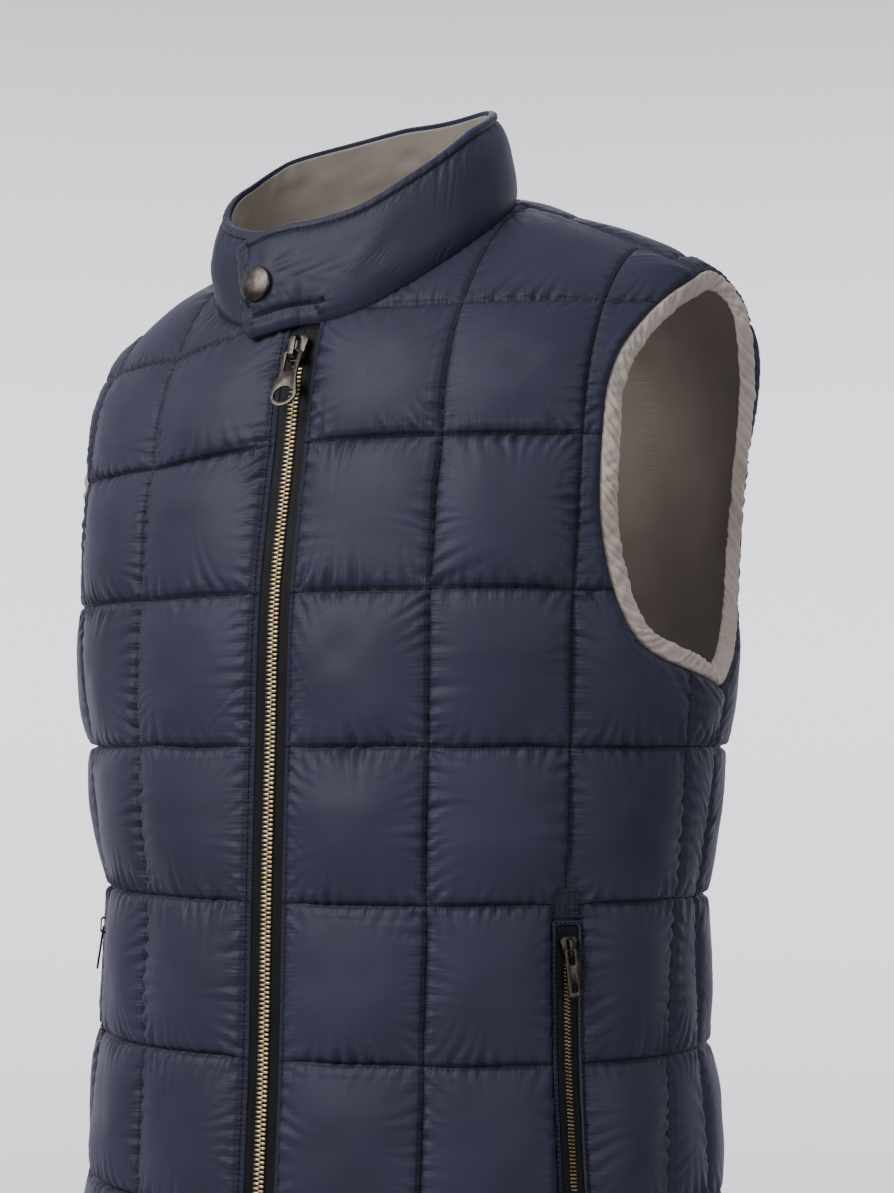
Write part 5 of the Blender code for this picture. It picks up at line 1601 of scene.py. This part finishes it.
studio = {
    "backdrop": (1.82, 1.76, 1.96), "room": (0.44, 0.44, 0.49), "falloff": 5.5,
    # name, place, size, power, what it looks at
    "lights": (("key", (-0.8, -2.2, 1.15), 1.9, 55.0, (0, 0, -0.35)),
               ("fill", (2.2, -1.4, 0.4), 2.0, 14.0, (0, 0, -0.35)),
               ("rim", (-1.2, 1.8, 1.2), 1.2, 14.0, (0, 0, -0.2))),
    "floor": {"height": -0.95, "radius": 1.6},
}
for name, place, size, power, towards in studio["lights"]:
    light = bpy.data.lights.new(name, "AREA")
    light.shape, light.size, light.energy = "DISK", size, power
    lamp = placed(name, light)
    lamp.location = place
    lamp.rotation_euler = (Vector(towards) - Vector(place)).to_track_quat("-Z", "Y").to_euler()

# the backdrop is palest behind the vest and dims upward, downward and towards the room
world = bpy.data.worlds.new("studio")
world.use_nodes = True
sky = NodeSet(world.node_tree)
wayX, wayY, wayZ = sky.split(sky.place("Generated"))
share = sky.ranged(wayY * 0.866 - wayX * 0.5, 0.25, 0.75, kind="SMOOTHSTEP")
apart = wayZ - 0.03
dim = 1.0 - apart * apart * studio["falloff"]
above = sky.ranged(wayZ, -0.2, 0.8, 0.34, 1.0)
seen = sky.blend(share, studio["room"], studio["backdrop"])
glow = world.node_tree.nodes["Background"]
world.node_tree.links.new(seen.socket, glow.inputs["Color"])
strength = dim.maths("MAXIMUM", 0.35) * share + above * (1.0 - share)
world.node_tree.links.new(strength.socket, glow.inputs["Strength"])
bpy.context.scene.world = world


def makeFloor():
    # a pale round floor that fades out towards its rim
    height, radius = studio["floor"]["height"], studio["floor"]["radius"]
    sides, count = 96, 8
    angles = np.linspace(0, 2 * math.pi, sides, endpoint=False)
    rings = [np.stack([np.cos(angles) * radius * k / count, np.sin(angles) * radius * k / count,
                       0 * angles + height], axis=1) for k in range(1, count + 1)]
    points = np.concatenate([[(0, 0, height)], *rings])
    faces = [(0, 1 + i, 1 + (i + 1) % sides) for i in range(sides)]
    for a in range(1, 1 + sides * (count - 1), sides):
        b = a + sides
        faces += [(a + i, b + i, b + (i + 1) % sides, a + (i + 1) % sides) for i in range(sides)]
    look = Finish("floor", {"Roughness": 0.7})
    place = look.place()
    grain = look.noise(place, 9.0, 3.0)
    look.feed("Base Color", look.blend(grain, (0.58, 0.57, 0.60), (0.64, 0.63, 0.66)))
    spotX, spotY, _ = look.split(place)
    far = (spotX ** 2.0 + spotY ** 2.0) ** 0.5
    look.feed("Alpha", look.ranged(far, radius * 0.35, radius * 0.98, 1.0, 0.0, "SMOOTHSTEP"))
    clothMesh("floor", points, faces, [look.material])


makeFloor()
